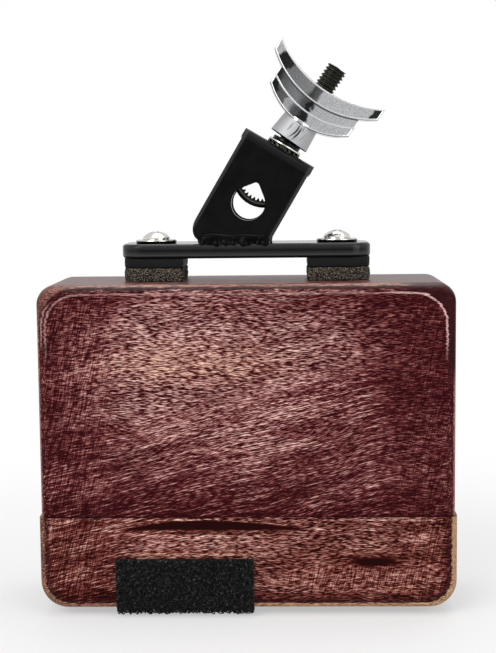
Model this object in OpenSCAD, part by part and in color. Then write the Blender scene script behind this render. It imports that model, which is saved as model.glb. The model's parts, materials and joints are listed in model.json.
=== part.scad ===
// Clamp-mounted woodblock: a two-piece hardwood block with a sawn tone slot, carried under a
// welded steel rod clamp on felt and rubber pads. X runs along the block, Y from front to back,
// and Z up. The origin lies under the middle of the whole object, on the surface it stands on.

/* [Wood block] */
// Width of the upper piece
block_w = 150; // [120:1:200]
// Depth of both pieces, front to back
block_d = 50; // [44:1:70]
// Height of the upper piece, above the joint
upper_h = 84.5; // [60:0.5:120]
// Height of the lower piece, below the joint
lower_h = 33.8; // [24:0.1:50]
// How much wider the lower piece is than the upper one
lower_extra_w = 1.6; // [0:0.1:4]
// Corner radius at the top of the block
top_corner_r = 7; // [5:0.5:14]
// Corner radius at the bottom of the block
bottom_corner_r = 10; // [5:0.5:16]
// Rounding along the front and back edges
edge_round = 3.5; // [1:0.5:4.5]
// Height of the shadow line at the joint
joint_line_h = 0.6; // [0.2:0.1:1.5]
// Depth of the shadow line at the joint
joint_line_depth = 0.9; // [0.3:0.1:1.5]
// Half length of the shallow hollow in the lower piece's front edge, at the joint
hollow_half = 31; // [20:0.5:40]
// Place of the hollow's middle, from the middle of the block
hollow_x = 1; // [-20:1:20]
// Height of the hollow at its middle
hollow_h = 3.3; // [1:0.1:5]
// Depth of the hollow at the joint
hollow_depth = 0.7; // [0.3:0.1:1.5]

/* [Tone slot] */
// Thickness of the striking plate in front of the slot
strike_t = 10; // [7:0.5:14]
// Width of the slot, front to back
slot_w = 8; // [6:0.5:12]
// Thickness of the wood left above the slot
slot_roof = 18; // [16:1:40]

/* [Loop strip] */
// Width of the strip, along the block
strip_w = 50; // [30:1:70]
// Thickness of the strip with its pile
strip_t = 2.8; // [1.5:0.1:4]
// Height of the strip on the front face, above the bottom of the block
strip_front_h = 18.8; // [12:0.1:30]
// Length of the strip under the block
strip_under = 44; // [30:1:46]
// Place of the strip's middle, from the middle of the block
strip_x = -22.8; // [-30:0.1:30]

/* [Mounting plate and pads] */
// Length of the plate
plate_w = 91; // [80:1:110]
// Depth of the plate
plate_d = 26; // [24:1:32]
// Thickness of the plate
plate_t = 5; // [3:0.5:6]
// Corner radius of the plate
plate_corner_r = 8; // [4:0.5:11]
// Length of each pad
pad_w = 22.5; // [16:0.5:26]
// Thickness of the felt pads
felt_t = 5.3; // [3:0.1:8]
// Thickness of the rubber pads
rubber_t = 3.5; // [2:0.1:5]
// How far the pads lie inside the outline of the plate
pad_inset = 0.9; // [0:0.1:2]
// Distance between the two screws
screw_span = 67; // [63:0.5:69]

/* [Screws] */
// Diameter of the screw shanks
screw_d = 4.9; // [4:0.1:5.5]
// Depth that the screws reach into the block
screw_reach = 11; // [8:0.5:12]
// Diameter of the pan heads
head_d = 10; // [8:0.5:11]
// Height of the pan heads
head_h = 3.2; // [2.5:0.1:4]
// Diameter of the screw washers
screw_washer_d = 15; // [12:0.5:16]
// Thickness of the screw washers
screw_washer_t = 1.2; // [0.8:0.1:1.6]
// Outer diameter of the threaded inserts
insert_d = 8; // [7:0.5:9]
// Length of the threaded inserts
insert_len = 12; // [8:0.5:13]

/* [Folded bracket] */
// Width of the steel strap
strap_w = 27.5; // [24:0.5:34]
// Thickness of the steel strap
strap_t = 3; // [2:0.5:4]
// Outer depth of the folded strap, cheek to cheek
strap_d = 22; // [20:0.5:23]
// Outer radius of the two bends
bend_r = 4.5; // [4:0.5:6]
// Lean of the strap from the vertical, in degrees
strap_tilt = 30.5; // [20:0.5:40]
// Place of the rod hole, from the middle of the block
hole_x = 1; // [-6:0.5:6]
// Height of the rod hole above the plate
hole_rise = 14.5; // [13:0.5:20]
// Radius of the rod hole
hole_r = 7; // [5:0.5:8]
// Radius at the tip of the rod hole's vee
hole_tip_r = 1.5; // [1:0.1:2.5]
// Lean of the rod hole's vee from the vertical, in degrees
vee_tilt = 24.5; // [20:0.5:40]
// Distance from the rod hole to the top of the strap
strap_rise = 23.3; // [23:0.1:30]
// Radius of the rounded toe where the strap meets the plate
toe_r = 6.4; // [3:0.1:8]
// Swelling of the strap's edges at the bends
bend_swell = 0.5; // [0:0.1:1.2]
// How far the welds reach out from the cheeks, over the plate
bead_reach = 1.8; // [1:0.1:1.9]
// How far the welds reach up the cheeks
bead_rise = 4.2; // [3:0.1:6]

/* [Eyebolt] */
// How far the middle of the eye stands above the rod hole
eye_rise = 11.2; // [10:0.1:12]
// Lean of the slack eyebolt inside the bracket, in degrees
bolt_lean = 4.5; // [0:0.5:5]
// Outer radius of the eye
eye_r = 11.5; // [11:0.1:12]
// Thickness of the eye, front to back
eye_t = 7.5; // [5:0.5:10]
// Radius of the opening, at the bottom of the teeth
eye_hole_r = 9.2; // [8.5:0.1:9.5]
// Depth of the teeth
tooth_h = 1; // [0.5:0.1:1.4]
// Number of teeth on the gripping arc
tooth_count = 13; // [7:1:15]
// Height of the eye's shoulders above its middle
yoke_top = 8.1; // [7.5:0.1:8.4]
// Thickness of the yoke above the opening
yoke_t = 3.5; // [3:0.1:4.5]
// Diameter of the threaded shank
shank_d = 7.8; // [6:0.1:8]
// Length of the shank from the middle of the eye to its tip
shank_len = 47.5; // [44:0.5:60]

/* [Wing nut and washers] */
// Distance from the middle of the eye to the foot of the hub
nut_foot = 16.3; // [16.2:0.1:18]
// Distance from the middle of the eye to the saddle of the wings
nut_saddle = 38.3; // [38:0.1:44]
// Diameter of the hub at its foot
hub_foot_d = 15.6; // [14:0.1:18]
// Diameter of the hub where it meets the wings
hub_top_d = 14; // [12:0.1:15]
// Depth of the wings, front to back
wing_d = 13; // [10:0.5:14]
// Half length of the upper wing
wing_half = 22.8; // [20:0.1:28]
// Half length of the lower wing
lower_wing_half = 17.4; // [15:0.1:20]
// Height of the upper wing's band at the middle
wing_band = 6.1; // [4:0.1:7]
// Height of the recessed band at the middle
recess_band = 3.8; // [2:0.1:5]
// Height of the lower wing's band at the middle
lower_band = 5.4; // [4:0.1:6]
// Depth of the recess between the wings, on each face
recess_depth = 1; // [0.5:0.1:2]
// Width of the raised rim round each wing's sunk field
rim_w = 0.8; // [0.5:0.1:1.2]
// Depth of the sunk fields on the wings' faces
field_depth = 0.4; // [0.2:0.1:0.8]
// Diameter of the flat and toothed washers
washer_d = 13; // [12:0.5:15]
// Thickness of the flat washer
flat_washer_t = 1; // [0.5:0.1:1.2]
// Thickness of the toothed washer
tooth_washer_t = 0.8; // [0.5:0.1:1]
// Diameter of the black friction washer
friction_washer_d = 10.9; // [10:0.1:12]
// Thickness of the black friction washer
friction_washer_t = 1.5; // [1:0.1:1.6]

/* [Fits] */
// Gap at a glued or soft seat
bond_gap = 0.1; // [0.05:0.05:0.3]
// Radial play of a screw in its holes
screw_play = 0.3; // [0.2:0.05:0.5]
// Radial play of the shank in the wing nut
thread_play = 0.08; // [0.05:0.01:0.1]
// Radial play of the shank in the washers
washer_play = 0.4; // [0.3:0.05:0.5]
// Radial play of the shank in the bracket
bolt_play = 1.35; // [1.3:0.05:1.6]

/* [Hidden] */

$fn = 64;
cut = 1;

// Levels, from the surface that the object stands on
block_foot = strip_t + bond_gap;
joint_z = block_foot + lower_h;
block_top = joint_z + upper_h;
plate_foot = block_top + felt_t + rubber_t;
plate_top = plate_foot + plate_t;
slot_h = upper_h - slot_roof;
block_y = (strip_t + bond_gap) / 2;
front_y = block_y - block_d / 2;
lower_w = block_w + lower_extra_w;

// Rod clamp
hole_z = plate_top + hole_rise;
graze_share = 0.985;
bolt_tilt = strap_tilt + bolt_lean;
screw_len = felt_t + rubber_t + plate_t + screw_washer_t + screw_reach;
stack_t = tooth_washer_t + flat_washer_t + friction_washer_t;
strap_above_eye = strap_rise - eye_rise;

// Teeth of the eye
tooth_arc = 132;
tooth_step = tooth_arc / tooth_count;
eye_bevel = 1.4;
shank_tip = 0.9;

// Arcs of the wing nut, each with its lowest point on the axis
saddle_r = 42.4;
wing_under_r = 37.2;
recess_under_r = 33;
lower_under_r = 27.4;
wing_under = nut_saddle - wing_band;
recess_under = wing_under - recess_band;
lower_under = recess_under - lower_band;
recess_half_share = 0.97;

// Screw heads
tip_room = 2;
recess_arm = 1.1;
recess_len = 5.4;
recess_h = 1.7;
head_rim = 0.9;

// Toe of the strap: its middle, which lies the toe's radius from the left edge and the plate,
// and the share of the toe's radius that weld metal fills beside the line of contact
toe_z = toe_r - hole_rise;
toe_x = (toe_r - strap_w / 2 + toe_z * sin(strap_tilt)) / cos(strap_tilt);
heel_x = (strap_w / 2 - hole_rise * sin(strap_tilt)) / cos(strap_tilt);
toe_fill_share = 0.68;
toe_fill_h = toe_r * (1 - sqrt(1 - pow(toe_fill_share, 2)));

// Where the edges start to swell towards the bends, and where they are full, in bend radii
swell_foot_share = 1.3;
swell_top_share = 0.7;

// Welds, each a row of round drops whose middles lie inside the cheek, a little above the plate
bead_count = 11;
bead_overhang = 0.8;
bead_low_share = 0.33;
bead_half = bead_rise * (1 - bead_low_share);
bead_sink = (pow(bead_half, 2) - pow(bead_reach, 2)) / (2 * bead_reach);
bead_r = bead_sink + bead_reach;
bead_from = toe_x - toe_fill_share * toe_r - bead_overhang + bead_half;
bead_step = (heel_x + bead_overhang - bead_half - bead_from) / (bead_count - 1);

// The hollow is the side of a wide cone: its radius at the front face, and how it narrows
hollow_r = (pow(hollow_half, 2) + pow(hollow_h, 2)) / (2 * hollow_h);
hollow_slope = hollow_h / hollow_depth;

wood_upper = "firebrick";
wood_lower = "indianred";
paint = [0.06, 0.06, 0.06];
chrome = [0.8, 0.81, 0.83];
zinc = [0.72, 0.73, 0.74];
blackened = [0.12, 0.12, 0.11];

// Places a piece at the middle of the block's depth
module at_middle(z = 0) {
    translate([0, block_y, z]) children();
}

// Turns a flat outline drawn in X and Z into a slab, centred on Y
module slab(depth) {
    rotate([90, 0, 0]) linear_extrude(height = depth, center = true) children();
}

// Axes of the strap: origin at the rod hole, Z up along the strap
module on_strap() {
    at_middle(hole_z) translate([hole_x, 0, 0]) rotate([0, strap_tilt, 0]) children();
}

// Axes of the eyebolt: origin at the middle of the eye, Z along the shank
module on_bolt() {
    on_strap() translate([0, 0, eye_rise]) rotate([0, bolt_lean, 0]) children();
}

// Outline of a board that is rounded at its far end, drawn from its joint upwards
module board_outline(w, h, corner, inset = 0) {
    half = w / 2 - inset;
    top = h - inset;
    r = corner - inset;
    for (side = [-1, 1]) translate([side * (half - r), top - r]) circle(r);
    translate([-half, 0]) square([2 * half, top - r]);
    translate([-(half - r), 0]) square([2 * (half - r), top]);
}

// Board with rounded far corners and rounded front and back edges, flat at its joint
module board(w, h, corner) {
    half = w / 2 - edge_round;
    reach = corner - edge_round;
    core_d = block_d - 2 * edge_round;
    slab(core_d) board_outline(w, h, corner);
    slab(block_d) board_outline(w, h, corner, edge_round);
    for (face = [-1, 1]) translate([0, face * core_d / 2, 0]) {
        translate([-(half - reach), 0, h - edge_round])
            rotate([0, 90, 0]) cylinder(r = edge_round, h = 2 * (half - reach));
        for (side = [-1, 1]) {
            translate([side * half, 0, 0]) cylinder(r = edge_round, h = h - corner);
            translate([side * (half - reach), 0, h - corner]) corner_round(reach, side);
        }
    }
}

// Quarter ring that carries the edge rounding round a corner
module corner_round(reach, side) {
    rotate([90, 0, 0]) rotate([0, 0, side > 0 ? 0 : 90])
        rotate_extrude(angle = 90) translate([reach, 0]) intersection() {
            circle(edge_round);
            translate([0, -edge_round]) square([edge_round, 2 * edge_round]);
        }
}

module main_block() color(wood_upper) difference() {
    at_middle(joint_z) difference() {
        board(block_w, upper_h, top_corner_r);
        // Shadow line all round the joint
        difference() {
            translate([-block_w / 2 - cut, -block_d / 2 - cut, -cut])
                cube([block_w + 2 * cut, block_d + 2 * cut, joint_line_h + cut]);
            translate([-block_w / 2 + joint_line_depth, -block_d / 2 + joint_line_depth, -2 * cut])
                cube([
                    block_w - 2 * joint_line_depth, block_d - 2 * joint_line_depth,
                    joint_line_h + 3 * cut
                ]);
        }
    }
    tone_slot();
    at_screws(block_top) {
        translate([0, 0, -insert_len]) cylinder(d = insert_d + bond_gap, h = insert_len + cut);
        translate([0, 0, -screw_reach - tip_room])
            cylinder(d = screw_d + 2 * screw_play, h = screw_reach + tip_room + cut);
    }
}

// Sawn from the joint upwards and open at both ends of the block
module tone_slot() {
    slot_mid = front_y + strike_t + slot_w / 2;
    run = block_w + 2 * cut;
    translate([-run / 2, slot_mid - slot_w / 2, joint_z - cut])
        cube([run, slot_w, slot_h - slot_w / 2 + cut]);
    translate([-run / 2, slot_mid, joint_z + slot_h - slot_w / 2])
        rotate([0, 90, 0]) cylinder(d = slot_w, h = run);
}

module lower_block() color(wood_lower) at_middle(joint_z) difference() {
    rotate([0, 180, 0]) board(lower_w, lower_h, bottom_corner_r);
    translate([hollow_x, -block_d / 2 + hollow_depth + cut, hollow_r - hollow_h])
        rotate([90, 0, 0]) cylinder(
            r1 = hollow_r - hollow_h - cut * hollow_slope, r2 = hollow_r + cut * hollow_slope,
            h = hollow_depth + 2 * cut, $fn = 256
        );
}

// Wraps round the lower front edge and under the block
module loop_strip() color([0.05, 0.05, 0.05]) {
    bend_in = edge_round + bond_gap;
    bend_out = bend_in + strip_t;
    bend_z = block_foot + edge_round;
    translate([strip_x - strip_w / 2, 0, 0]) {
        translate([0, front_y - bond_gap - strip_t, bend_z])
            cube([strip_w, strip_t, strip_front_h - edge_round]);
        translate([0, front_y + edge_round, 0])
            cube([strip_w, strip_under - edge_round, strip_t]);
        translate([0, front_y + edge_round, bend_z]) rotate([0, 90, 0]) intersection() {
            difference() {
                cylinder(r = bend_out, h = strip_w);
                translate([0, 0, -cut]) cylinder(r = bend_in, h = strip_w + 2 * cut);
            }
            translate([0, -bend_out, 0]) cube([bend_out, bend_out, strip_w]);
        }
    }
}

// Outline of the plate, or of what lies inside it
module plate_outline(inset = 0) {
    half_w = plate_w / 2 - inset;
    half_d = plate_d / 2 - inset;
    r = plate_corner_r - inset;
    for (x = [-1, 1], y = [-1, 1]) translate([x * (half_w - r), y * (half_d - r)]) circle(r);
    square([2 * half_w, 2 * (half_d - r)], center = true);
    square([2 * (half_w - r), 2 * half_d], center = true);
}

// Holes for both screws, through whatever lies between two levels
module screw_holes(z, h) {
    for (side = [-1, 1]) at_middle(z - cut) translate([side * screw_span / 2, 0, 0])
        cylinder(d = screw_d + 2 * screw_play, h = h + 2 * cut);
}

// Pad under one end of the plate: side is -1 at the left and 1 at the right
module pad(side, z, t) {
    difference() {
        at_middle(z) linear_extrude(height = t) intersection() {
            plate_outline(pad_inset);
            translate([side * (plate_w / 2 - pad_inset - pad_w / 2), 0])
                square([pad_w, plate_d], center = true);
        }
        screw_holes(z, t);
    }
}

module left_felt_pad() color("dimgray") pad(-1, block_top, felt_t);
module right_felt_pad() color("dimgray") pad(1, block_top, felt_t);
module left_rubber_pad() color([0.1, 0.1, 0.1]) pad(-1, block_top + felt_t, rubber_t);
module right_rubber_pad() color([0.1, 0.1, 0.1]) pad(1, block_top + felt_t, rubber_t);

module mounting_plate() color(paint) difference() {
    at_middle(plate_foot) linear_extrude(height = plate_t) plate_outline();
    screw_holes(plate_foot, plate_t);
}

// Side view of the folded strap, drawn in X and Z from the rod hole, down to the plate
module cheek_outline() {
    half = strap_w / 2;
    foot = -hole_rise;
    toe_edge = [toe_x - toe_r * cos(strap_tilt), toe_z + toe_r * sin(strap_tilt)];
    swell = half + bend_swell;
    polygon([
        [heel_x, foot],
        strap_point(half, strap_rise - swell_foot_share * bend_r),
        strap_point(swell, strap_rise - swell_top_share * bend_r),
        strap_point(swell, strap_rise + cut),
        strap_point(-swell, strap_rise + cut),
        strap_point(-swell, strap_rise - swell_top_share * bend_r),
        strap_point(-half, strap_rise - swell_foot_share * bend_r),
        toe_edge,
        [toe_x, toe_z],
        [toe_x, foot]
    ]);
    translate([toe_x, toe_z]) circle(toe_r);
    // Weld metal that fills the wedge under the toe
    translate([toe_x - toe_fill_share * toe_r, foot])
        square([toe_fill_share * toe_r, toe_fill_share * toe_fill_h]);
}
// A point given across and along the strap, turned upright
function strap_point(across, along) = [
    across * cos(strap_tilt) + along * sin(strap_tilt),
    along * cos(strap_tilt) - across * sin(strap_tilt)
];

// The strap's section, seen along its width: two cheeks under a bent top
module strap_section() {
    inner_r = bend_r - strap_t;
    drop = strap_rise + 2 * strap_w + hole_rise;
    half = strap_d / 2;
    difference() {
        fold_outline(half, strap_rise, bend_r, drop);
        fold_outline(half - strap_t, strap_rise - strap_t, inner_r, drop);
    }
}

module fold_outline(half, top, r, drop) {
    for (side = [-1, 1]) translate([side * (half - r), top - r]) circle(r);
    translate([-half, -drop]) square([2 * half, top - r + drop]);
    translate([-(half - r), -drop]) square([2 * (half - r), top + drop]);
}

module folded_bracket() color(paint) difference() {
    intersection() {
        on_strap() rotate([90, 0, 90])
            linear_extrude(height = 2 * strap_w, center = true) strap_section();
        at_middle(hole_z) translate([hole_x, 0, 0]) slab(strap_d + 2 * cut) cheek_outline();
    }
    on_strap() {
        rotate([0, vee_tilt - strap_tilt, 0]) rod_hole();
        cylinder(d = shank_d + 2 * bolt_play, h = strap_rise + cut);
    }
}

// Round hole with a right-angled vee that points up
module rod_hole() {
    run = strap_d + 2 * cut;
    flank = graze_share * hole_r;
    tip = flank - graze_share * hole_tip_r;
    rotate([90, 0, 0]) {
        cylinder(r = hole_r, h = run, center = true);
        rotate([0, 0, 45]) {
            translate([tip, tip, 0]) cylinder(r = hole_tip_r, h = run, center = true);
            linear_extrude(height = run, center = true)
                polygon([[0, 0], [flank, 0], [flank, tip], [tip, flank], [0, flank]]);
        }
    }
}

// A run of overlapping weld drops up each cheek's foot and over the plate beside it
module weld_beads() color(paint) for (face = [-1, 1]) {
    corner_y = block_y + face * strap_d / 2;
    intersection() {
        for (i = [0 : bead_count - 1]) translate([
            hole_x + bead_from + i * bead_step, corner_y - face * bead_sink,
            plate_top + bead_rise - bead_half
        ]) sphere(bead_r);
        translate([
            hole_x - strap_w, face > 0 ? corner_y : corner_y - 2 * bead_r, plate_top
        ]) cube([2 * strap_w, 2 * bead_r, 2 * bead_r]);
    }
}

module eyebolt() color(blackened) on_bolt() {
    difference() {
        eye_body();
        eye_opening();
    }
    teeth();
    translate([0, 0, yoke_top - yoke_t / 2])
        cylinder(d = shank_d, h = shank_len - shank_tip - yoke_top + yoke_t / 2);
    translate([0, 0, shank_len - shank_tip])
        cylinder(d1 = shank_d, d2 = shank_d - 2 * shank_tip, h = shank_tip);
}

// Disc with bevelled rims, cut flat at the shoulders
module eye_body() {
    intersection() {
        rotate([90, 0, 0]) rotate_extrude() polygon([
            [0, -eye_t / 2], [eye_r - eye_bevel, -eye_t / 2], [eye_r, -eye_t / 2 + eye_bevel],
            [eye_r, eye_t / 2 - eye_bevel], [eye_r - eye_bevel, eye_t / 2], [0, eye_t / 2]
        ]);
        translate([-eye_r - cut, -eye_t, -eye_r - cut])
            cube([2 * (eye_r + cut), 2 * eye_t, eye_r + cut + yoke_top]);
    }
}

// Round opening with a flat top under the yoke
module eye_opening() {
    intersection() {
        rotate([90, 0, 0]) cylinder(r = eye_hole_r, h = eye_t + 2 * cut, center = true);
        translate([-eye_r, -eye_t, -eye_r])
            cube([2 * eye_r, 2 * eye_t, eye_r + yoke_top - yoke_t]);
    }
}

// Gripping teeth along the lower arc of the opening
module teeth() {
    root = eye_hole_r + tooth_h / 2;
    half_root = root * sin(tooth_step / 2);
    tooth_t = eye_t - 2 * eye_bevel;
    for (i = [0 : tooth_count - 1]) rotate([0, (i - (tooth_count - 1) / 2) * tooth_step, 0])
        slab(tooth_t) polygon([
            [-half_root, -root], [half_root, -root], [0, -(eye_hole_r - tooth_h)]
        ]);
}

// Plain ring on the bolt's side of the bracket, lying flat on the strap
module ring_on_strap(outer_d, t, lift) {
    across = (strap_above_eye + stack_t / 2) * tan(bolt_lean);
    on_strap() translate([across, 0, strap_rise + lift]) difference() {
        cylinder(d = outer_d, h = t);
        translate([0, 0, -cut]) cylinder(d = shank_d + 2 * washer_play, h = t + 2 * cut);
    }
}

module toothed_washer() color(zinc) ring_on_strap(washer_d, tooth_washer_t, 0);
module flat_washer() color(zinc) ring_on_strap(washer_d, flat_washer_t, tooth_washer_t);
module friction_washer() color([0.08, 0.08, 0.08])
    ring_on_strap(friction_washer_d, friction_washer_t, tooth_washer_t + flat_washer_t);

// All that lies above an arc whose lowest point is on the axis
module above_arc(low, r) {
    translate([0, low + r]) circle(r, $fn = 128);
}

// One curved band between two arcs, cut off square at both ends
module band(half, low, r, top, top_r) {
    difference() {
        intersection() {
            above_arc(low, r);
            translate([-half, low]) square([2 * half, r]);
        }
        above_arc(top, top_r);
    }
}

// One wing between two arcs, with a rim round the sunk field on its front and its back
module wing(half, low, low_r, top, top_r) {
    difference() {
        slab(wing_d) band(half, low, low_r, top, top_r);
        for (face = [-1, 1]) translate([0, face * (wing_d / 2 + cut - field_depth), 0]) slab(2 * cut)
            band(half - rim_w, low + rim_w, low_r - rim_w, top - rim_w, top_r + rim_w);
    }
}

module wing_nut() color(chrome) on_bolt() difference() {
    union() {
        wing(wing_half, wing_under, wing_under_r, nut_saddle, saddle_r);
        slab(wing_d - 2 * recess_depth) band(
            lower_wing_half * recess_half_share, recess_under, recess_under_r, nut_saddle, saddle_r
        );
        wing(lower_wing_half, lower_under, lower_under_r, recess_under, recess_under_r);
        translate([0, 0, nut_foot])
            cylinder(d1 = hub_foot_d, d2 = hub_top_d, h = recess_under - nut_foot);
    }
    translate([0, 0, nut_foot - cut])
        cylinder(d = shank_d + 2 * thread_play, h = nut_saddle - nut_foot + 2 * cut);
}

// One piece for each screw, side by side
module at_screws(z) {
    for (side = [-1, 1]) at_middle(z) translate([side * screw_span / 2, 0, 0]) children();
}

module plate_screws() color(zinc) at_screws(plate_top + screw_washer_t) difference() {
    union() {
        translate([0, 0, -screw_len]) cylinder(d = screw_d, h = screw_len);
        pan_head();
    }
    for (turn = [0, 90]) rotate([0, 0, turn])
        translate([-recess_len / 2, -recess_arm / 2, head_h - recess_h])
            cube([recess_len, recess_arm, recess_h + cut]);
}

// Low dome over a short rim
module pan_head() {
    dome_h = head_h - head_rim;
    dome_r = (pow(head_d / 2, 2) + pow(dome_h, 2)) / (2 * dome_h);
    cylinder(d = head_d, h = head_rim);
    intersection() {
        translate([0, 0, head_h - dome_r]) sphere(dome_r, $fn = 128);
        cylinder(d = head_d, h = head_h);
    }
}

module screw_washers() color(zinc) at_screws(plate_top) difference() {
    cylinder(d = screw_washer_d, h = screw_washer_t);
    translate([0, 0, -cut]) cylinder(d = screw_d + 2 * screw_play, h = screw_washer_t + 2 * cut);
}

module thread_inserts() color("goldenrod") at_screws(block_top - insert_len) difference() {
    cylinder(d = insert_d, h = insert_len);
    translate([0, 0, -cut]) cylinder(d = screw_d + 2 * bond_gap, h = insert_len + 2 * cut);
}

main_block();
lower_block();
loop_strip();
left_felt_pad();
right_felt_pad();
left_rubber_pad();
right_rubber_pad();
mounting_plate();
folded_bracket();
weld_beads();
eyebolt();
toothed_washer();
flat_washer();
friction_washer();
wing_nut();
plate_screws();
screw_washers();
thread_inserts();
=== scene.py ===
# %% [markdown]
# # A woodblock on its rod clamp
# A hardwood block with a sawn tone slot hangs under a black steel clamp, on pads of felt and
# rubber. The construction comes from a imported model, the frame. Each cell here models one piece
# over its solid in the frame, in metres, and then gives it a finish. The frame itself is never
# moved: it says where every piece goes.

import json
import math

import bpy
import bmesh
import numpy as np
from mathutils import Matrix, Vector, noise


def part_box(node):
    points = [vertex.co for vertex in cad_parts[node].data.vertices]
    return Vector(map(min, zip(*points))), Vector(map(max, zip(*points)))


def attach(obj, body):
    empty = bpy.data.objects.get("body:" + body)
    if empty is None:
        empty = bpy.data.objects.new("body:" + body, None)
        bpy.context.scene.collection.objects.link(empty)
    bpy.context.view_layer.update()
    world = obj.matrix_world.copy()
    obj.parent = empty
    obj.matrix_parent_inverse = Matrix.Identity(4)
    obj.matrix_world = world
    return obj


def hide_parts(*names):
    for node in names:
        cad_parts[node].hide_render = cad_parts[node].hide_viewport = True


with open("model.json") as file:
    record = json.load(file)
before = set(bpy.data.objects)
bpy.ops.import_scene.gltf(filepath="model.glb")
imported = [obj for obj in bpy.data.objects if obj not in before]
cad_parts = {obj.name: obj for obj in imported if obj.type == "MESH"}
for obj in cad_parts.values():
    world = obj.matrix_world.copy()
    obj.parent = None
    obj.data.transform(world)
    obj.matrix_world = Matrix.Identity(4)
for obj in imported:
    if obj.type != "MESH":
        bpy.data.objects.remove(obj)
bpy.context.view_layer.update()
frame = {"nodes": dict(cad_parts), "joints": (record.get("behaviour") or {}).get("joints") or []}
MM = 0.001

# %% [markdown]
# ## Working by hand
# A piece starts as a primitive and is shaped in edit mode. Edit operators act on what is
# selected, so these helpers select faces and edges by their place, which is what a hand and an
# eye would do in the window. Operators on whole objects act on all that are selected too, so a
# new primitive is first made the only selected one.

# %% Start, shape and leave a piece
def only(piece):
    """Makes the piece the only selected one."""
    bpy.ops.object.select_all(action="DESELECT")
    piece.select_set(True)
    bpy.context.view_layer.objects.active = piece


def start(name):
    """Names the primitive that was just added, and puts its place into its mesh."""
    piece = bpy.context.object
    only(piece)
    piece.name = name
    piece.data.name = name
    bpy.ops.object.transform_apply(location=True, rotation=True, scale=True)
    return piece


def cube(name, middle, size):
    bpy.ops.mesh.primitive_cube_add(size=1, location=middle, scale=size)
    return start(name)


def cylinder(name, radius, depth, middle=(0, 0, 0), vertices=96):
    """An upright cylinder."""
    bpy.ops.mesh.primitive_cylinder_add(vertices=vertices, radius=radius, depth=depth, location=middle)
    return start(name)


def disc(name, radius, depth, vertices=96):
    """A cylinder that faces the front, with its middle at the origin."""
    bpy.ops.mesh.primitive_cylinder_add(
        vertices=vertices, radius=radius, depth=depth, rotation=(math.pi / 2, 0, 0)
    )
    return start(name)


def shape(piece, mode="FACE"):
    """Opens the piece in edit mode with nothing selected."""
    only(piece)
    bpy.ops.object.mode_set(mode="EDIT")
    bpy.ops.mesh.select_mode(type=mode)
    bpy.ops.mesh.select_all(action="DESELECT")


def leave():
    bpy.ops.object.mode_set(mode="OBJECT")


# %% [markdown]
# A test that is given to `pick_faces` or `pick_edges` names the place that a hand would click
# on. Two lengths count as the same when they differ by less than a hundredth of a millimetre.

# %% Pick, bevel and cut in edit mode
def pick_faces(piece, test):
    """Selects the faces whose middle and normal pass the test."""
    mesh = bmesh.from_edit_mesh(piece.data)
    for face in mesh.faces:
        face.select_set(bool(test(face.calc_center_median(), face.normal)))
    bmesh.update_edit_mesh(piece.data)


def pick_edges(piece, test):
    """Selects the edges whose two ends pass the test."""
    mesh = bmesh.from_edit_mesh(piece.data)
    for edge in mesh.edges:
        edge.select_set(bool(test(edge.verts[0].co, edge.verts[1].co)))
    bmesh.update_edit_mesh(piece.data)


def near(a, *others):
    return all(abs(a - b) < 0.01 * MM for b in others)


def bevel(width, segments):
    """Rounds the picked edges."""
    bpy.ops.mesh.bevel(offset=width, segments=segments, profile=0.5, affect="EDGES")


def slice_off(place, normal, fill=True, **clear):
    """Cuts the open piece along a plane, and takes away the side that is named, if any."""
    bpy.ops.mesh.select_all(action="SELECT")
    bpy.ops.mesh.bisect(plane_co=place, plane_no=normal, use_fill=fill, **clear)


# %% [markdown]
# A finished piece has its modifiers applied, smooth shading with crisp edges, and normals that
# lean on the large faces, so that a flat side stays flat beside its rounded edge.

# %% Modifiers, cuts and shading
def modify(piece, kind, **settings):
    """Adds one modifier and applies it."""
    only(piece)
    modifier = piece.modifiers.new(kind.title(), kind)
    for key, value in settings.items():
        setattr(modifier, key, value)
    bpy.ops.object.modifier_apply(modifier=modifier.name)


def combine(piece, other, operation="DIFFERENCE"):
    """Cuts the other piece away, or adds it, and removes it."""
    modify(piece, "BOOLEAN", object=other, operation=operation, solver="EXACT")
    bpy.data.objects.remove(other)


def drill(piece, x, y, radius, low_z, high_z, vertices=48):
    """Cuts one upright round hole."""
    combine(piece, cylinder("drill", radius, high_z - low_z, (x, y, (low_z + high_z) / 2), vertices))


def smooth(piece, angle=35.0):
    only(piece)
    bpy.ops.object.shade_smooth_by_angle(angle=math.radians(angle))
    modify(piece, "WEIGHTED_NORMAL", keep_sharp=True)


def ease(piece, width, segments=3, angle=30.0):
    """Rounds every edge sharper than the angle."""
    modify(
        piece, "BEVEL", width=width, segments=segments, limit_method="ANGLE",
        angle_limit=math.radians(angle), miter_outer="MITER_ARC",
    )


# %% [markdown]
# A piece is modelled where that is easiest, often upright at the origin, and then moved to its
# place. What repeats is modelled once and copied. The last step fastens the piece to its body
# in the frame, hides the solid that it stands for, and gives it a finish.

# %% Place, copy, join and dress
def settle(piece, matrix):
    """Moves a piece that was modelled upright at the origin to its place."""
    piece.matrix_world = matrix
    only(piece)
    bpy.ops.object.transform_apply(location=True, rotation=True, scale=True)


def copy_of(piece, name, matrix):
    """A copy with its own mesh, moved by the matrix."""
    twin = piece.copy()
    twin.data = piece.data.copy()
    twin.name = name
    bpy.context.scene.collection.objects.link(twin)
    twin.data.transform(matrix)
    return twin


def copies_round(piece, angles, axis):
    """Copies of a piece, turned about the axis, in place of the piece itself."""
    twins = [copy_of(piece, f"{piece.name}_{i}", Matrix.Rotation(angle, 4, axis))
             for i, angle in enumerate(angles)]
    bpy.data.objects.remove(piece)
    return twins


def join(piece, *others):
    only(piece)
    for other in others:
        other.select_set(True)
    bpy.ops.object.join()
    return piece


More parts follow.
